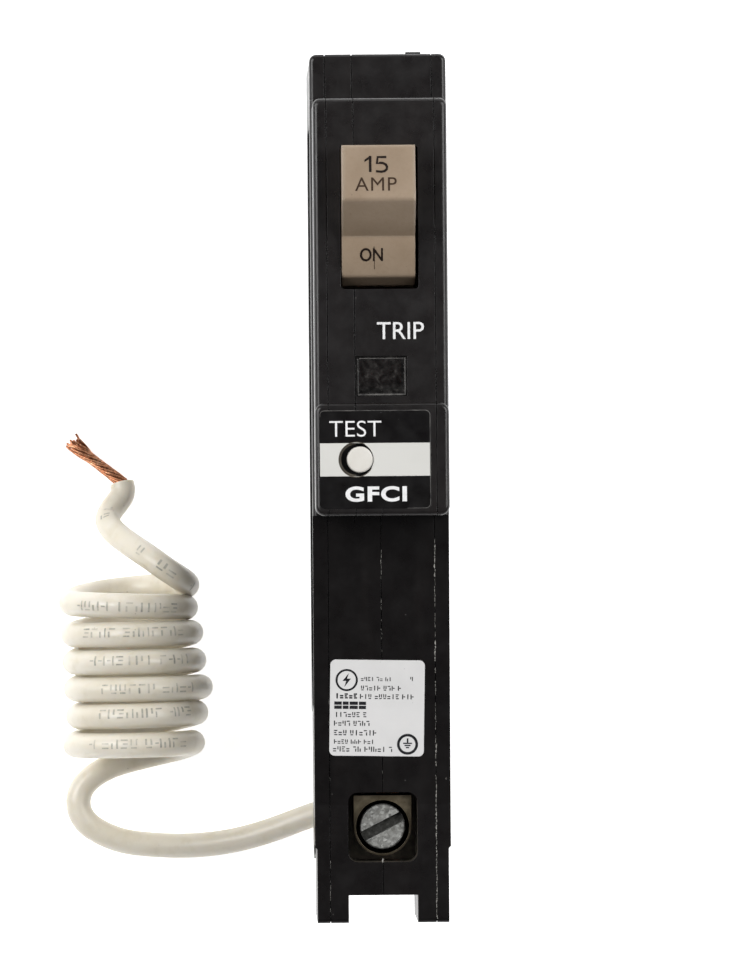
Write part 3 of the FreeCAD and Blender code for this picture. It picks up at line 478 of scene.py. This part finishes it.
# ---- helpers for pieces ----
def add_piece(name, mesh, material, body):
    piece = bpy.data.objects.new(name, mesh)
    scene.collection.objects.link(piece)
    piece.data.materials.clear()
    piece.data.materials.append(material)
    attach(piece, body)
    return piece


def mesh_of(curve):
    """The mesh that a curve or text makes, without keeping the curve."""
    holder = bpy.data.objects.new("holder", curve)
    scene.collection.objects.link(holder)
    bpy.context.view_layer.update()
    mesh = bpy.data.meshes.new_from_object(holder)
    bpy.data.objects.remove(holder)
    return mesh


def lettering(text, centre, width, height, bold=0.0, spacing=1.0):
    """Flat lettering of a given size in millimetres, centred on a point."""
    curve = bpy.data.curves.new("text", "FONT")
    curve.body = text
    curve.offset = bold
    curve.space_character = spacing
    curve.resolution_u = 6
    mesh = mesh_of(curve)
    xs = [v.co.x for v in mesh.vertices]
    ys = [v.co.y for v in mesh.vertices]
    for v in mesh.vertices:
        v.co.x = centre[0] + width * ((v.co.x - min(xs)) / (max(xs) - min(xs)) - 0.5)
        v.co.y = centre[1] + height * ((v.co.y - min(ys)) / (max(ys) - min(ys)) - 0.5)
    return mesh


def artwork(loops):
    """Flat artwork filled between closed loops of (x, y) points; a loop inside another is a hole."""
    curve = bpy.data.curves.new("loops", "CURVE")
    curve.dimensions = "2D"
    curve.fill_mode = "BOTH"
    for loop in loops:
        spline = curve.splines.new("POLY")
        spline.points.add(len(loop) - 1)
        for point, (x, y) in zip(spline.points, loop):
            point.co = (x, y, 0, 1)
        spline.use_cyclic_u = True
    return mesh_of(curve)


def circle(x, y, radius, count=48):
    turns = [2 * math.pi * k / count for k in range(count)]
    return [(x + radius * math.cos(t), y + radius * math.sin(t)) for t in turns]


def stroke(points, width):
    """The closed outline of a line of a given width drawn through open points."""
    left = []
    right = []
    for i, here in enumerate(points):
        before = points[max(i - 1, 0)]
        after = points[min(i + 1, len(points) - 1)]
        run = math.hypot(after[0] - before[0], after[1] - before[1])
        across = (-(after[1] - before[1]) / run * width / 2, (after[0] - before[0]) / run * width / 2)
        left.append((here[0] + across[0], here[1] + across[1]))
        right.append((here[0] - across[0], here[1] - across[1]))
    return left + right[::-1]


def arc(x, y, radius, start, end, count=8):
    angles = [math.radians(start + (end - start) * k / count) for k in range(count + 1)]
    return [(x + radius * math.cos(t), y + radius * math.sin(t)) for t in angles]


def tiles(boxes, step=100.0):
    """Separate (x0, x1, y0, y1) rectangles, divided so that they can be wrapped round a surface."""
    vertices = []
    faces = []
    for x0, x1, y0, y1 in boxes:
        columns = max(1, math.ceil((x1 - x0) / step))
        rows = max(1, math.ceil((y1 - y0) / step))
        first = len(vertices)
        for j in range(rows + 1):
            for i in range(columns + 1):
                vertices.append((x0 + (x1 - x0) * i / columns, y0 + (y1 - y0) * j / rows, 0))
        for j in range(rows):
            for i in range(columns):
                a = first + j * (columns + 1) + i
                faces.append((a, a + 1, a + columns + 2, a + columns + 1))
    mesh = bpy.data.meshes.new("tiles")
    mesh.from_pydata(vertices, [], faces)
    return mesh


def printed(name, mesh, where, material, body, thickness=0.03, sink=0.0):
    """Raises flat artwork into a thin closed skin that lies where where(x, y, lift) puts it."""
    work = bmesh.new()
    work.from_mesh(mesh)
    bpy.data.meshes.remove(mesh)
    bmesh.ops.remove_doubles(work, verts=work.verts, dist=1e-4)
    bmesh.ops.dissolve_degenerate(work, edges=work.edges, dist=1e-4)
    for v in work.verts:
        v.co.z = -sink
    raised = bmesh.ops.extrude_face_region(work, geom=work.faces[:])
    for part in raised["geom"]:
        if isinstance(part, bmesh.types.BMVert):
            part.co.z = thickness
    for v in work.verts:
        v.co = Vector(where(v.co.x, v.co.y, v.co.z)) * MM
    bmesh.ops.recalc_face_normals(work, faces=work.faces)
    for face in work.faces:
        face.smooth = False
    skin = bpy.data.meshes.new(name)
    work.to_mesh(skin)
    work.free()
    return add_piece(name, skin, material, body)


def merged(meshes):
    """One flat mesh from several."""
    work = bmesh.new()
    for mesh in meshes:
        work.from_mesh(mesh)
        bpy.data.meshes.remove(mesh)
    whole = bpy.data.meshes.new("merged")
    work.to_mesh(whole)
    work.free()
    return whole


def level(z):
    return lambda x, y, lift: (x, y, z + lift)


def handle_point(across, along, out):
    """A point given from the handle's pin, along the swing and out towards the lever's end."""
    turn_cos, turn_sin = math.cos(HANDLE_TILT), math.sin(HANDLE_TILT)
    return (across, HANDLE_AXIS[0] + along * turn_cos + out * turn_sin,
            HANDLE_AXIS[1] - along * turn_sin + out * turn_cos)


def on_lever(x, y, lift):
    return handle_point(x, y, LEVER_END + lift)


def on_shroud(x, y, lift):
    """Wraps artwork on the handle's curved shroud; y is measured round it from its middle."""
    reach = SHROUD_R + lift
    return handle_point(x, reach * math.sin(y / SHROUD_R), reach * math.cos(y / SHROUD_R) - SHROUD_DROP)


def on_deck(x, y, lift):
    """Lays artwork on the lower front face, which is flat by the terminal and slopes up from there."""
    if y < DECK_FLAT_Y:
        return (x, y, DECK_Z + lift)
    along = y - DECK_FLAT_Y
    return (x, DECK_FLAT_Y + along * math.cos(DECK_SLOPE) - lift * math.sin(DECK_SLOPE),
            DECK_Z + along * math.sin(DECK_SLOPE) + lift * math.cos(DECK_SLOPE))


def on_rating_label(x, y, lift):
    turn_cos, turn_sin = math.cos(RATING_TURN), math.sin(RATING_TURN)
    return on_deck(RATING_CENTRE[0] + x * turn_cos - y * turn_sin,
                   RATING_CENTRE[1] + x * turn_sin + y * turn_cos, RATING_TOP + lift)


# each mark is made of stems (place across, foot, head) and dashes (height, left, right), as shares
PRINT_MARKS = [([(0.0, 0.0, 1.0), (1.0, 0.0, 0.6)], []),
               ([(0.0, 0.4, 1.0), (1.0, 0.0, 1.0)], []),
               ([], [(0.0, 0.0, 1.0), (0.55, 0.0, 1.0)]),
               ([], [(0.0, 0.1, 1.0), (0.5, 0.0, 0.7), (1.0, 0.0, 1.0)]),
               ([(0.5, 0.0, 1.0)], []),
               ([(0.0, 0.0, 1.0)], [(0.5, 0.45, 1.0)]),
               ([(1.0, 0.0, 0.6)], [(1.0, 0.0, 0.9)]),
               ([(0.0, 0.35, 1.0), (1.0, 0.35, 1.0)], [(0.0, 0.1, 0.9)])]
MARK_PITCH = 0.86
MARK_WIDTH = 0.62
WORD_GAP = 0.55


def greeked(x0, x1, y, height, chance, weight):
    """A row of plain ticks and dashes that stands for small print, as (x0, x1, y0, y1) boxes."""
    boxes = []
    pitch = height * MARK_PITCH
    wide = height * MARK_WIDTH
    thick = height * weight
    foot = y - height / 2
    x = x0
    left_in_word = chance.randint(3, 7)
    while x + wide <= x1 + 0.01:
        if left_in_word == 0:
            left_in_word = chance.randint(2, 7)
            x += pitch * WORD_GAP
            continue
        left_in_word -= 1
        stems, dashes = chance.choice(PRINT_MARKS)
        for across, low, high in stems:
            left = x + across * (wide - thick)
            boxes.append((left, left + thick, foot + height * low, foot + height * high))
        for up, left, right in dashes:
            low = foot + up * (height - thick)
            boxes.append((x + wide * left, x + wide * right, low, low + thick))
        x += pitch
    return boxes


# ---- the pigtail ----
LEAD_ROUTE = [(3.5, -33.4, 9.0), (3.5, -37.2, 9.0), (2.4, -40.6, 8.8), (-0.4, -43.3, 8.3),
              (-4.6, -45.4, 7.5), (-10.1, -47.15, 6.4), (-15.6, -49.3, 5.2), (-21.4, -50.9, 4.0),
              (-27.4, -51.5, 3.0), (-32.8, -51.3, 2.5), (-36.9, -50.8, 2.2), (-40.0, -49.6, 2.0),
              (-42.4, -48.0, 1.95), (-43.5, -45.7, 1.9), (-43.1, -43.2, 1.9), (-41.4, -41.3, 1.9),
              (-38.6, -39.8, 1.9), (-35.4, -38.9, 1.9)]
LAST_PASS = [(-31.6, -38.0, 2.5), (-28.4, -37.2, 4.8)]
# where the wire's middle is at the right and left of each turn, from the free end: (x, y)
RIGHT_ENDS = [(-27.9, -13.6), (-27.56, -16.83), (-26.82, -20.42), (-26.42, -24.39), (-25.5, -28.23),
              (-26.19, -31.92), (-26.61, -36.23)]
LEFT_ENDS = [(-44.0, -16.18), (-43.75, -20.73), (-43.6, -24.66), (-43.42, -28.54), (-43.15, -32.47),
             (-43.6, -36.54)]
TURNS = len(LEFT_ENDS)
COIL_RISE = 8.35
FLOOR_GAP = 0.08
# the coil's angle, in radians, where TIP_ROUTE takes over
FIRST_START = 0.5
POINTS_PER_TURN = 14
# the share of its control points' radius that the spline reaches
CORNER_CUT = 0.977
# past the first half turn, this share of each step along the coil is eased and the rest is even
EASED_SHARE = 0.55
TIP_ROUTE = [(-27.4, -13.9, 8.2), (-27.3, -13.4, 12.0), (-28.5, -12.5, 15.3), (-30.6, -11.1, 16.8),
             (-32.8, -9.5, 15.8), (-34.8, -8.2, 13.4), (-36.7, -6.9, 10.4), (-38.2, -5.6, 7.6),
             (-38.9, -4.3, 5.4), (-38.3, -2.9, 4.0), (-37.4, -1.8, 3.0), (-36.7, -0.8, 2.5),
             (-36.5, 0.1, 2.2), (-36.7, 0.95, 2.0)]


def turn_point(angle):
    """A point of the coil; angle grows from 0 at the free end's right side, a full turn for each loop."""
    share = min(angle / (2 * math.pi), TURNS - 1e-6)
    index = int(share)
    part = (share - index) * 2
    if part < 1:
        start, end = RIGHT_ENDS[index], LEFT_ENDS[index]
    else:
        start, end = LEFT_ENDS[index], RIGHT_ENDS[index + 1]
        part -= 1
    middle = (start[0] + end[0]) / 2
    half = abs(start[0] - end[0]) / 2 / CORNER_CUT
    if share < 0.5:
        along = part ** 2
    else:
        along = EASED_SHARE * (1 - math.cos(math.pi * part)) / 2 + (1 - EASED_SHARE) * part
    y = start[1] + (end[1] - start[1]) * along
    rise = COIL_RISE / CORNER_CUT
    return (middle + half * math.cos(angle), y, WIRE_R + FLOOR_GAP + COIL_RISE - rise * math.sin(angle))


coil_points = []
steps = POINTS_PER_TURN * TURNS
last_angle = 2 * math.pi * TURNS
for step in range(steps + 1):
    angle = last_angle - step * (last_angle - FIRST_START) / steps
    coil_points.append(turn_point(angle))
cord_points = LEAD_ROUTE + LAST_PASS + coil_points + TIP_ROUTE


def spline_curve(name, points):
    """A curve of one open spline through a route given in millimetres."""
    curve = bpy.data.curves.new(name, "CURVE")
    curve.dimensions = "3D"
    curve.resolution_u = 8
    spline = curve.splines.new("NURBS")
    spline.points.add(len(points) - 1)
    for point, place in zip(spline.points, points):
        point.co = (*[c * MM for c in place], 1)
    spline.order_u = 3
    spline.use_endpoint_u = True
    return curve


pigtail_curve = spline_curve("pigtail_wire", cord_points)
pigtail_curve.bevel_depth = WIRE_R * MM
pigtail_curve.bevel_resolution = 7
pigtail_curve.use_fill_caps = True
pigtail = bpy.data.objects.new("pigtail_wire", pigtail_curve)
scene.collection.objects.link(pigtail)
pigtail_curve.materials.append(MATERIALS["pigtail_insulation"])
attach(pigtail, "case")
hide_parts("pigtail_lead", "pigtail_coil", "pigtail_tip")


def centreline(points, resolution=12):
    """Close-set points along the spline through the given control points, in metres."""
    curve = spline_curve("measure", points)
    curve.resolution_u = resolution
    return [v.co.copy() for v in mesh_of(curve).vertices]


wire_line = centreline(cord_points)
wire_reach = [0.0]
for before, after in zip(wire_line, wire_line[1:]):
    wire_reach.append(wire_reach[-1] + (after - before).length / MM)
wire_length = wire_reach[-1] * MM


# ---- bare copper strands ----
COPPER_ROUTE = [(-36.5, 0.9, 2.1), (-37.5, 1.8, 1.95), (-40.6, 4.2, 1.6), (-43.4, 6.4, 1.3),
                (-44.9, 7.6, 1.15)]
STRAND_R = 0.18
INNER_RING = 0.36
OUTER_RING = 0.71
LAY_TURNS = 0.85
SPLAY_FROM = 0.55
copper_line = centreline(COPPER_ROUTE, 8)


def strand_paths():
    """Nineteen strands twisted round the wire's own line, splaying a little at their cut ends."""
    chance = random.Random(SEED)
    rings = [(0.0, 0)] + [(INNER_RING, k) for k in range(6)] + [(OUTER_RING, k) for k in range(12)]
    total = sum((b - a).length for a, b in zip(copper_line, copper_line[1:]))
    paths = []
    for ring, k in rings:
        count = {0.0: 1, INNER_RING: 6, OUTER_RING: 12}[ring]
        phase = 2 * math.pi * k / count + chance.uniform(-0.1, 0.1)
        splay = chance.uniform(0.0, 1.0)
        lean = chance.uniform(0, 2 * math.pi)
        stop = total * chance.uniform(0.82, 1.0)
        reach = 0.0
        path = []
        for i, here in enumerate(copper_line):
            if i:
                reach += (here - copper_line[i - 1]).length
            if reach > stop:
                break
            ahead = copper_line[min(i + 1, len(copper_line) - 1)] - copper_line[max(i - 1, 0)]
            ahead.normalize()
            side = ahead.cross(Vector((0, 0, 1))).normalized()
            up = side.cross(ahead)
            share = reach / total
            turn = phase + 2 * math.pi * LAY_TURNS * share
            spread = ring * (1.08 - 0.2 * math.sin(math.pi * share) + 0.5 * max(0.0, share - 0.6))
            loose = splay * max(0.0, share - SPLAY_FROM) ** 1.5 * 5.0
            off_side = spread * math.cos(turn) + loose * math.cos(lean)
            off_up = spread * math.sin(turn) + loose * math.sin(lean)
            low = here.z / MM + off_up * up.z
            lift = max(0.0, STRAND_R + 0.02 - low)
            path.append(here + (side * off_side + up * off_up + Vector((0, 0, lift))) * MM)
        paths.append(path)
    return paths


strand_curve = bpy.data.curves.new("pigtail_strands", "CURVE")
strand_curve.dimensions = "3D"
strand_curve.bevel_depth = STRAND_R * MM
strand_curve.bevel_resolution = 3
strand_curve.use_fill_caps = True
strand_curve.resolution_u = 2
for path in strand_paths():
    spline = strand_curve.splines.new("POLY")
    spline.points.add(len(path) - 1)
    for point, place in zip(spline.points, path):
        point.co = (*place, 1)
strands = bpy.data.objects.new("pigtail_strands", strand_curve)
scene.collection.objects.link(strands)
strand_curve.materials.append(COPPER_STRAND)
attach(strands, "case")
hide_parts("pigtail_copper")


# ---- faded print on the insulation ----
# the coil's front passes are above FRONT_Z, on the load end's side of COIL_START_Y
FRONT_Z = 16.2
COIL_START_Y = -14.6
# a gap between marked points that is longer than this starts the next pass
PASS_GAP = 2
PASS_HALF = 6.8
MARK_HEIGHT = 1.35
MARK_WEIGHT = 0.15
# x, y and width of the marks on the free end
FREE_END_MARKS = [(-39.4, -3.6, 1.1), (-38.6, -4.9, 1.1), (-33.3, -9.2, 1.1), (-30.6, -11.0, 2.4),
                  (-28.0, -12.8, 1.1)]


def on_wire(reach, across, lift):
    """Wraps artwork round the wire's upper side; reach is measured along it in millimetres."""
    i = min(max(bisect.bisect_right(wire_reach, reach), 1), len(wire_reach) - 1)
    share = (reach - wire_reach[i - 1]) / (wire_reach[i] - wire_reach[i - 1])
    here = wire_line[i - 1].lerp(wire_line[i], share)
    ahead = (wire_line[min(i + 3, len(wire_line) - 1)] - wire_line[max(i - 4, 0)]).normalized()
    up = (Vector((0, 0, 1)) - ahead * ahead.z).normalized()
    side = ahead.cross(up)
    turn = across / WIRE_R
    out = (up * math.cos(turn) + side * math.sin(turn)) * (WIRE_R + lift) * MM
    return (here + out) / MM


def wire_print():
    """Marks along the front of each coil pass and on the free end."""
    chance = random.Random(SEED + 1)
    boxes = []
    front = [r for r, place in zip(wire_reach, wire_line)
             if place.z > FRONT_Z * MM and place.y < COIL_START_Y * MM]
    start = front[0]
    for before, after in zip(front, front[1:] + [front[-1] + 10]):
        if after - before > PASS_GAP:
            middle = (start + before) / 2 + chance.uniform(-0.8, 0.8)
            boxes += greeked(middle - PASS_HALF, middle + PASS_HALF, chance.uniform(-0.2, 0.5), MARK_HEIGHT,
                             chance, MARK_WEIGHT)
            start = after
    for x, y, width in FREE_END_MARKS:
        near = min(range(len(wire_line) * 4 // 5, len(wire_line)),
                   key=lambda i: (wire_line[i].x / MM - x) ** 2 + (wire_line[i].y / MM - y) ** 2)
        boxes += greeked(wire_reach[near] - width / 2, wire_reach[near] + width / 2, 0.1, MARK_HEIGHT, chance,
                         MARK_WEIGHT)
    return tiles(boxes, 0.3)


wire_marks = printed("wire_marks", wire_print(), on_wire, WIRE_INK, "case", 0.02,
                     0.05)


# ---- print on the handle and the front ----
# the digits of the rating, as outlines; the lettering below is text, centre, width, height, bold, spacing
one = [[(-1.63, 0.0), (-1.27, 0.0), (-1.27, 2.36), (-1.63, 2.36)],
       [(-2.22, 1.8), (-1.64, 2.24), (-1.64, 1.86), (-2.22, 1.46)]]
five = stroke([(0.78, 2.18), (-0.42, 2.18), (-0.52, 1.24), (-0.1, 1.34), (0.3, 1.3), (0.68, 1.1),
               (0.86, 0.75), (0.8, 0.38), (0.5, 0.12), (0.05, 0.03), (-0.66, 0.12)], 0.34)
printed("handle_rating", artwork(one + [five]), on_lever, BROWN_INK, "handle")
printed("handle_unit", lettering("AMP", (-0.7, -1.75), 5.7, 1.95, -0.001, 1.1), on_lever, FADED_INK,
        "handle")
printed("handle_on", lettering("ON", (-1.27, -9.08), 3.15, 1.9, 0.014), on_shroud, BROWN_INK, "handle",
        0.05, 0.03)
printed("handle_off", lettering("OFF", (-0.4, 9.08), 4.1, 1.9, 0.0), on_shroud, BROWN_INK, "handle",
        0.05, 0.03)
printed("trip_word", lettering("TRIP", (2.65, 21.74), 6.48, 2.34, 0.002), level(PLATFORM_Z), WHITE_INK,
        "case")
printed("test_word", lettering("TEST", (-3.71, 8.25), 7.16, 2.2, -0.006), level(FILM_TOP), WHITE_INK,
        "case")
printed("type_word", lettering("GFCI", (-0.9, -0.75), 8.46, 2.13, 0.035, 1.12), level(FILM_TOP), WHITE_INK,
        "case")
printed("handle_mark", artwork([stroke([(-0.92, -7.9), (-0.88, -9.4), (-0.86, -11.2)], 0.07)]), on_shroud,
        FADED_INK, "handle", 0.04, 0.03)
hole_x, hole_y, hole_r = BUTTON_HOLE
band = artwork([[(-8.6, 1.7), (6.65, 1.7), (6.65, 6.27), (-8.6, 6.27)],
                circle(hole_x, hole_y, hole_r + 0.02)])
printed("test_band", band, level(FILM_TOP), BAND_INK, "case", 0.02)
# The film's rim gets a broken grey line: a painted highlight along its edge.
film_rim = stroke([(-8.55, 9.9)] + arc(-7.93, 10.08, 0.66, 165, 90) + arc(5.93, 10.08, 0.66, 90, 0)
                  + arc(5.93, -2.05, 0.66, 0, -90) + [(3.4, -2.73)], 0.1)
rim_arc = stroke(arc(hole_x, hole_y, hole_r + 0.06, 60, 330, 30), 0.1)
# A lighter arc inside the button's hole stands for light on the hole's wall: a painted highlight.
glint_arc = stroke(arc(hole_x, hole_y, hole_r - 0.14, 92, 268, 24), 0.24)
printed("film_rim", artwork([film_rim]), level(FILM_TOP), RIM_GREY, "case", 0.025)
printed("well_rim", artwork([rim_arc]), level(FILM_TOP), WELL_BROWN, "case", 0.03)
printed("well_glint", artwork([glint_arc]), level(WELL_GLINT_Z), WELL_BROWN, "case", 0.05)
# The lens's rims get the same painted highlight lines.
lens_rim = [stroke([(-3.28, 12.95), (3.28, 12.95)], 0.2), stroke([(3.22, 13.1), (3.22, 18.0)], 0.13),
            stroke([(-3.1, 17.93), (3.1, 17.93)], 0.09), stroke([(-3.24, 13.1), (-3.24, 17.8)], 0.08)]
printed("lens_rim", artwork(lens_rim), level(LENS_TOP), RIM_GREY, "case", 0.02)


BOLT_RING = (-4.3, 3.9)
EARTH_RING = (4.33, -5.05)


def rating_print():
    """Rings round a bolt and an earth symbol, and rows of ticks and dashes laid out as small print is."""
    chance = random.Random(SEED + 2)
    # x0, x1, y, height and weight of each row
    rows = [(-5.84, -2.76, 1.67, 0.74, 0.28), (-2.3, 2.18, 4.09, 0.56, 0.2), (4.6, 5.11, 4.15, 0.56, 0.2),
            (-2.28, 3.32, 2.81, 0.66, 0.2), (-2.41, 5.57, 1.62, 0.68, 0.2),
            (-5.88, -1.15, -0.95, 0.7, 0.2), (-6.01, -0.97, -2.17, 0.7, 0.2),
            (-5.98, 0.18, -3.5, 0.74, 0.2), (-5.97, -0.23, -4.76, 0.6, 0.2), (-6.1, 2.72, -5.8, 0.72, 0.2)]
    boxes = []
    for x0, x1, y, height, weight in rows:
        boxes += greeked(x0, x1, y, height, chance, weight)
    for x0, x1 in ((-6.0, -4.95), (-4.8, -4.0), (-3.85, -2.7), (-2.55, -1.55)):
        boxes += [(x0, x1, -0.16, 0.3), (x0, x1, 0.42, 0.88)]
    bolt_x, bolt_y = BOLT_RING
    earth_x, earth_y = EARTH_RING
    for up, half in ((0.13, 0.62), (-0.17, 0.42), (-0.47, 0.22)):
        boxes.append((earth_x - half, earth_x + half, earth_y + up - 0.09, earth_y + up + 0.09))
    boxes.append((earth_x - 0.11, earth_x + 0.11, earth_y + 0.23, earth_y + 0.83))
    bolt = [(bolt_x + x, bolt_y + y) for x, y in ((0.3, 0.98), (-0.58, -0.12), (-0.06, -0.12),
                                                  (-0.32, -0.98), (0.58, 0.2), (0.04, 0.2))]
    rings = artwork([circle(bolt_x, bolt_y, 1.56), circle(bolt_x, bolt_y, 1.28), bolt,
                     circle(earth_x, earth_y, 1.47), circle(earth_x, earth_y, 1.1)])
    return merged([tiles(boxes), rings])


printed("rating_print", rating_print(), on_rating_label, LABEL_INK, "case", 0.02)


# ---- rough flash along the moulding seams ----
# a flake's outline, as shares of its length and of its half width
FLAKE = [(0, 0), (0.3, 0.8), (0.55, 0.5), (0.8, 1), (1, 0.1), (0.7, -0.7), (0.4, -1), (0.2, -0.4)]
FLAKE_GAP = 0.03


def flash(runs, chance):
    """Ragged little flakes along (x, y0, y1, share covered, widest) runs."""
    loops = []
    for x, y0, y1, cover, widest in runs:
        y = y0
        while y < y1:
            length = chance.uniform(0.15, 0.9)
            if chance.random() < cover:
                half = chance.uniform(0.35, 1.0) * widest / 2
                middle = x + chance.uniform(-0.05, 0.05)
                loops.append([(middle + half * side * chance.uniform(0.6, 1), y + length * part)
                              for part, side in FLAKE])
            y += length + FLAKE_GAP
    return artwork(loops)


# runs along the right, middle and left seams of the deck
SEAM_FLASH = [(7.5, -60.4, -41.2, 1.0, 0.26), (7.5, -40.9, -38.2, 0.9, 0.24), (7.5, -38.0, -36.0, 1.0, 0.3),
              (7.5, -35.8, -24.4, 0.75, 0.14), (7.5, -24.2, -21.0, 1.0, 0.34), (7.5, -20.8, -12.6, 0.7, 0.14),
              (7.5, -12.4, -7.0, 0.95, 0.26), (0.0, -12.6, -8.6, 0.8, 0.12), (0.0, -24.0, -13.0, 0.3, 0.1),
              (0.0, -41.0, -38.5, 0.4, 0.1), (-7.4, -60.0, -52.5, 0.35, 0.1),
              (-7.4, -44.0, -26.0, 0.12, 0.07)]
SPOT_FLASH = [(8.85, -40.9, -40.75, 1.0, 0.22), (-0.1, -52.5, -52.3, 1.0, 0.3)]
printed("seam_flash", flash(SEAM_FLASH + SPOT_FLASH, random.Random(SEED + 3)), on_deck, BURR, "case",
        0.035, 0.02)


# ---- stage, light and camera ----
FLOOR_HALF = 3.0
FLOOR_Z = -0.0002
LIGHT_AIM = (0, 0, 0.03)


def floor():
    """A bright paper sheet in metres, just under the part."""
    mesh = bpy.data.meshes.new("floor")
    half = FLOOR_HALF
    mesh.from_pydata([(-half, -half, FLOOR_Z), (half, -half, FLOOR_Z), (half, half, FLOOR_Z),
                      (-half, half, FLOOR_Z)], [], [(0, 1, 2, 3)])
    plane = bpy.data.objects.new("floor", mesh)
    scene.collection.objects.link(plane)
    s = Shader("floor_paper", Roughness=0.9, IOR=1.2)
    s.colour(s.ramp(s.noise(60, 2), [(0.3, (0.90, 0.90, 0.90)), (0.7, (0.93, 0.93, 0.93))]))
    s.bsdf.inputs["Emission Color"].default_value = (1, 1, 1, 1)
    s.bsdf.inputs["Emission Strength"].default_value = 0.8
    mesh.materials.append(s.material)


def area_light(name, place, size, power):
    """A rectangular light, in metres and watts, that is aimed at the part."""
    data = bpy.data.lights.new(name, "AREA")
    data.shape = "RECTANGLE"
    data.size, data.size_y = size
    data.energy = power
    lamp = bpy.data.objects.new(name, data)
    scene.collection.objects.link(lamp)
    lamp.location = Vector(place)
    lamp.rotation_mode = "QUATERNION"
    lamp.rotation_quaternion = (Vector(LIGHT_AIM) - Vector(place)).to_track_quat("-Z", "Y")


floor()
area_light("side_left", (-0.85, 0.3, 1.0), (0.7, 0.9), 12.3)
area_light("side_right", (0.85, 0.3, 1.0), (0.7, 0.9), 11.8)
area_light("line_end", (0.0, 1.2, 0.5), (1.2, 0.5), 3.2)
area_light("load_end", (0.0, -1.2, 0.5), (1.0, 0.4), 0.8)

world = bpy.data.worlds.new("studio")
world.use_nodes = True
backdrop = world.node_tree.nodes["Background"]
backdrop.inputs["Color"].default_value = (0.95, 0.96, 1.0, 1)
backdrop.inputs["Strength"].default_value = 0.1
scene.world = world

CAMERA_PLACE = (-19.8, 1.18, 1230.0)
CAMERA_YAW = -0.879
CAMERA_ROLL = -0.47
CAMERA_LENS = 318.4
camera_data = bpy.data.cameras.new("camera")
camera_data.sensor_width = 36.0
camera_data.lens = CAMERA_LENS
camera_data.clip_start = 0.05
camera_data.clip_end = 20.0
camera = bpy.data.objects.new("camera", camera_data)
scene.collection.objects.link(camera)
yaw = Matrix.Rotation(math.radians(CAMERA_YAW), 4, "Y")
roll = Matrix.Rotation(math.radians(CAMERA_ROLL), 4, "Z")
camera.matrix_world = Matrix.Translation(Vector(CAMERA_PLACE) * MM) @ yaw @ roll
scene.camera = camera
scene.view_settings.view_transform = "Standard"

print("wire length", wire_length)
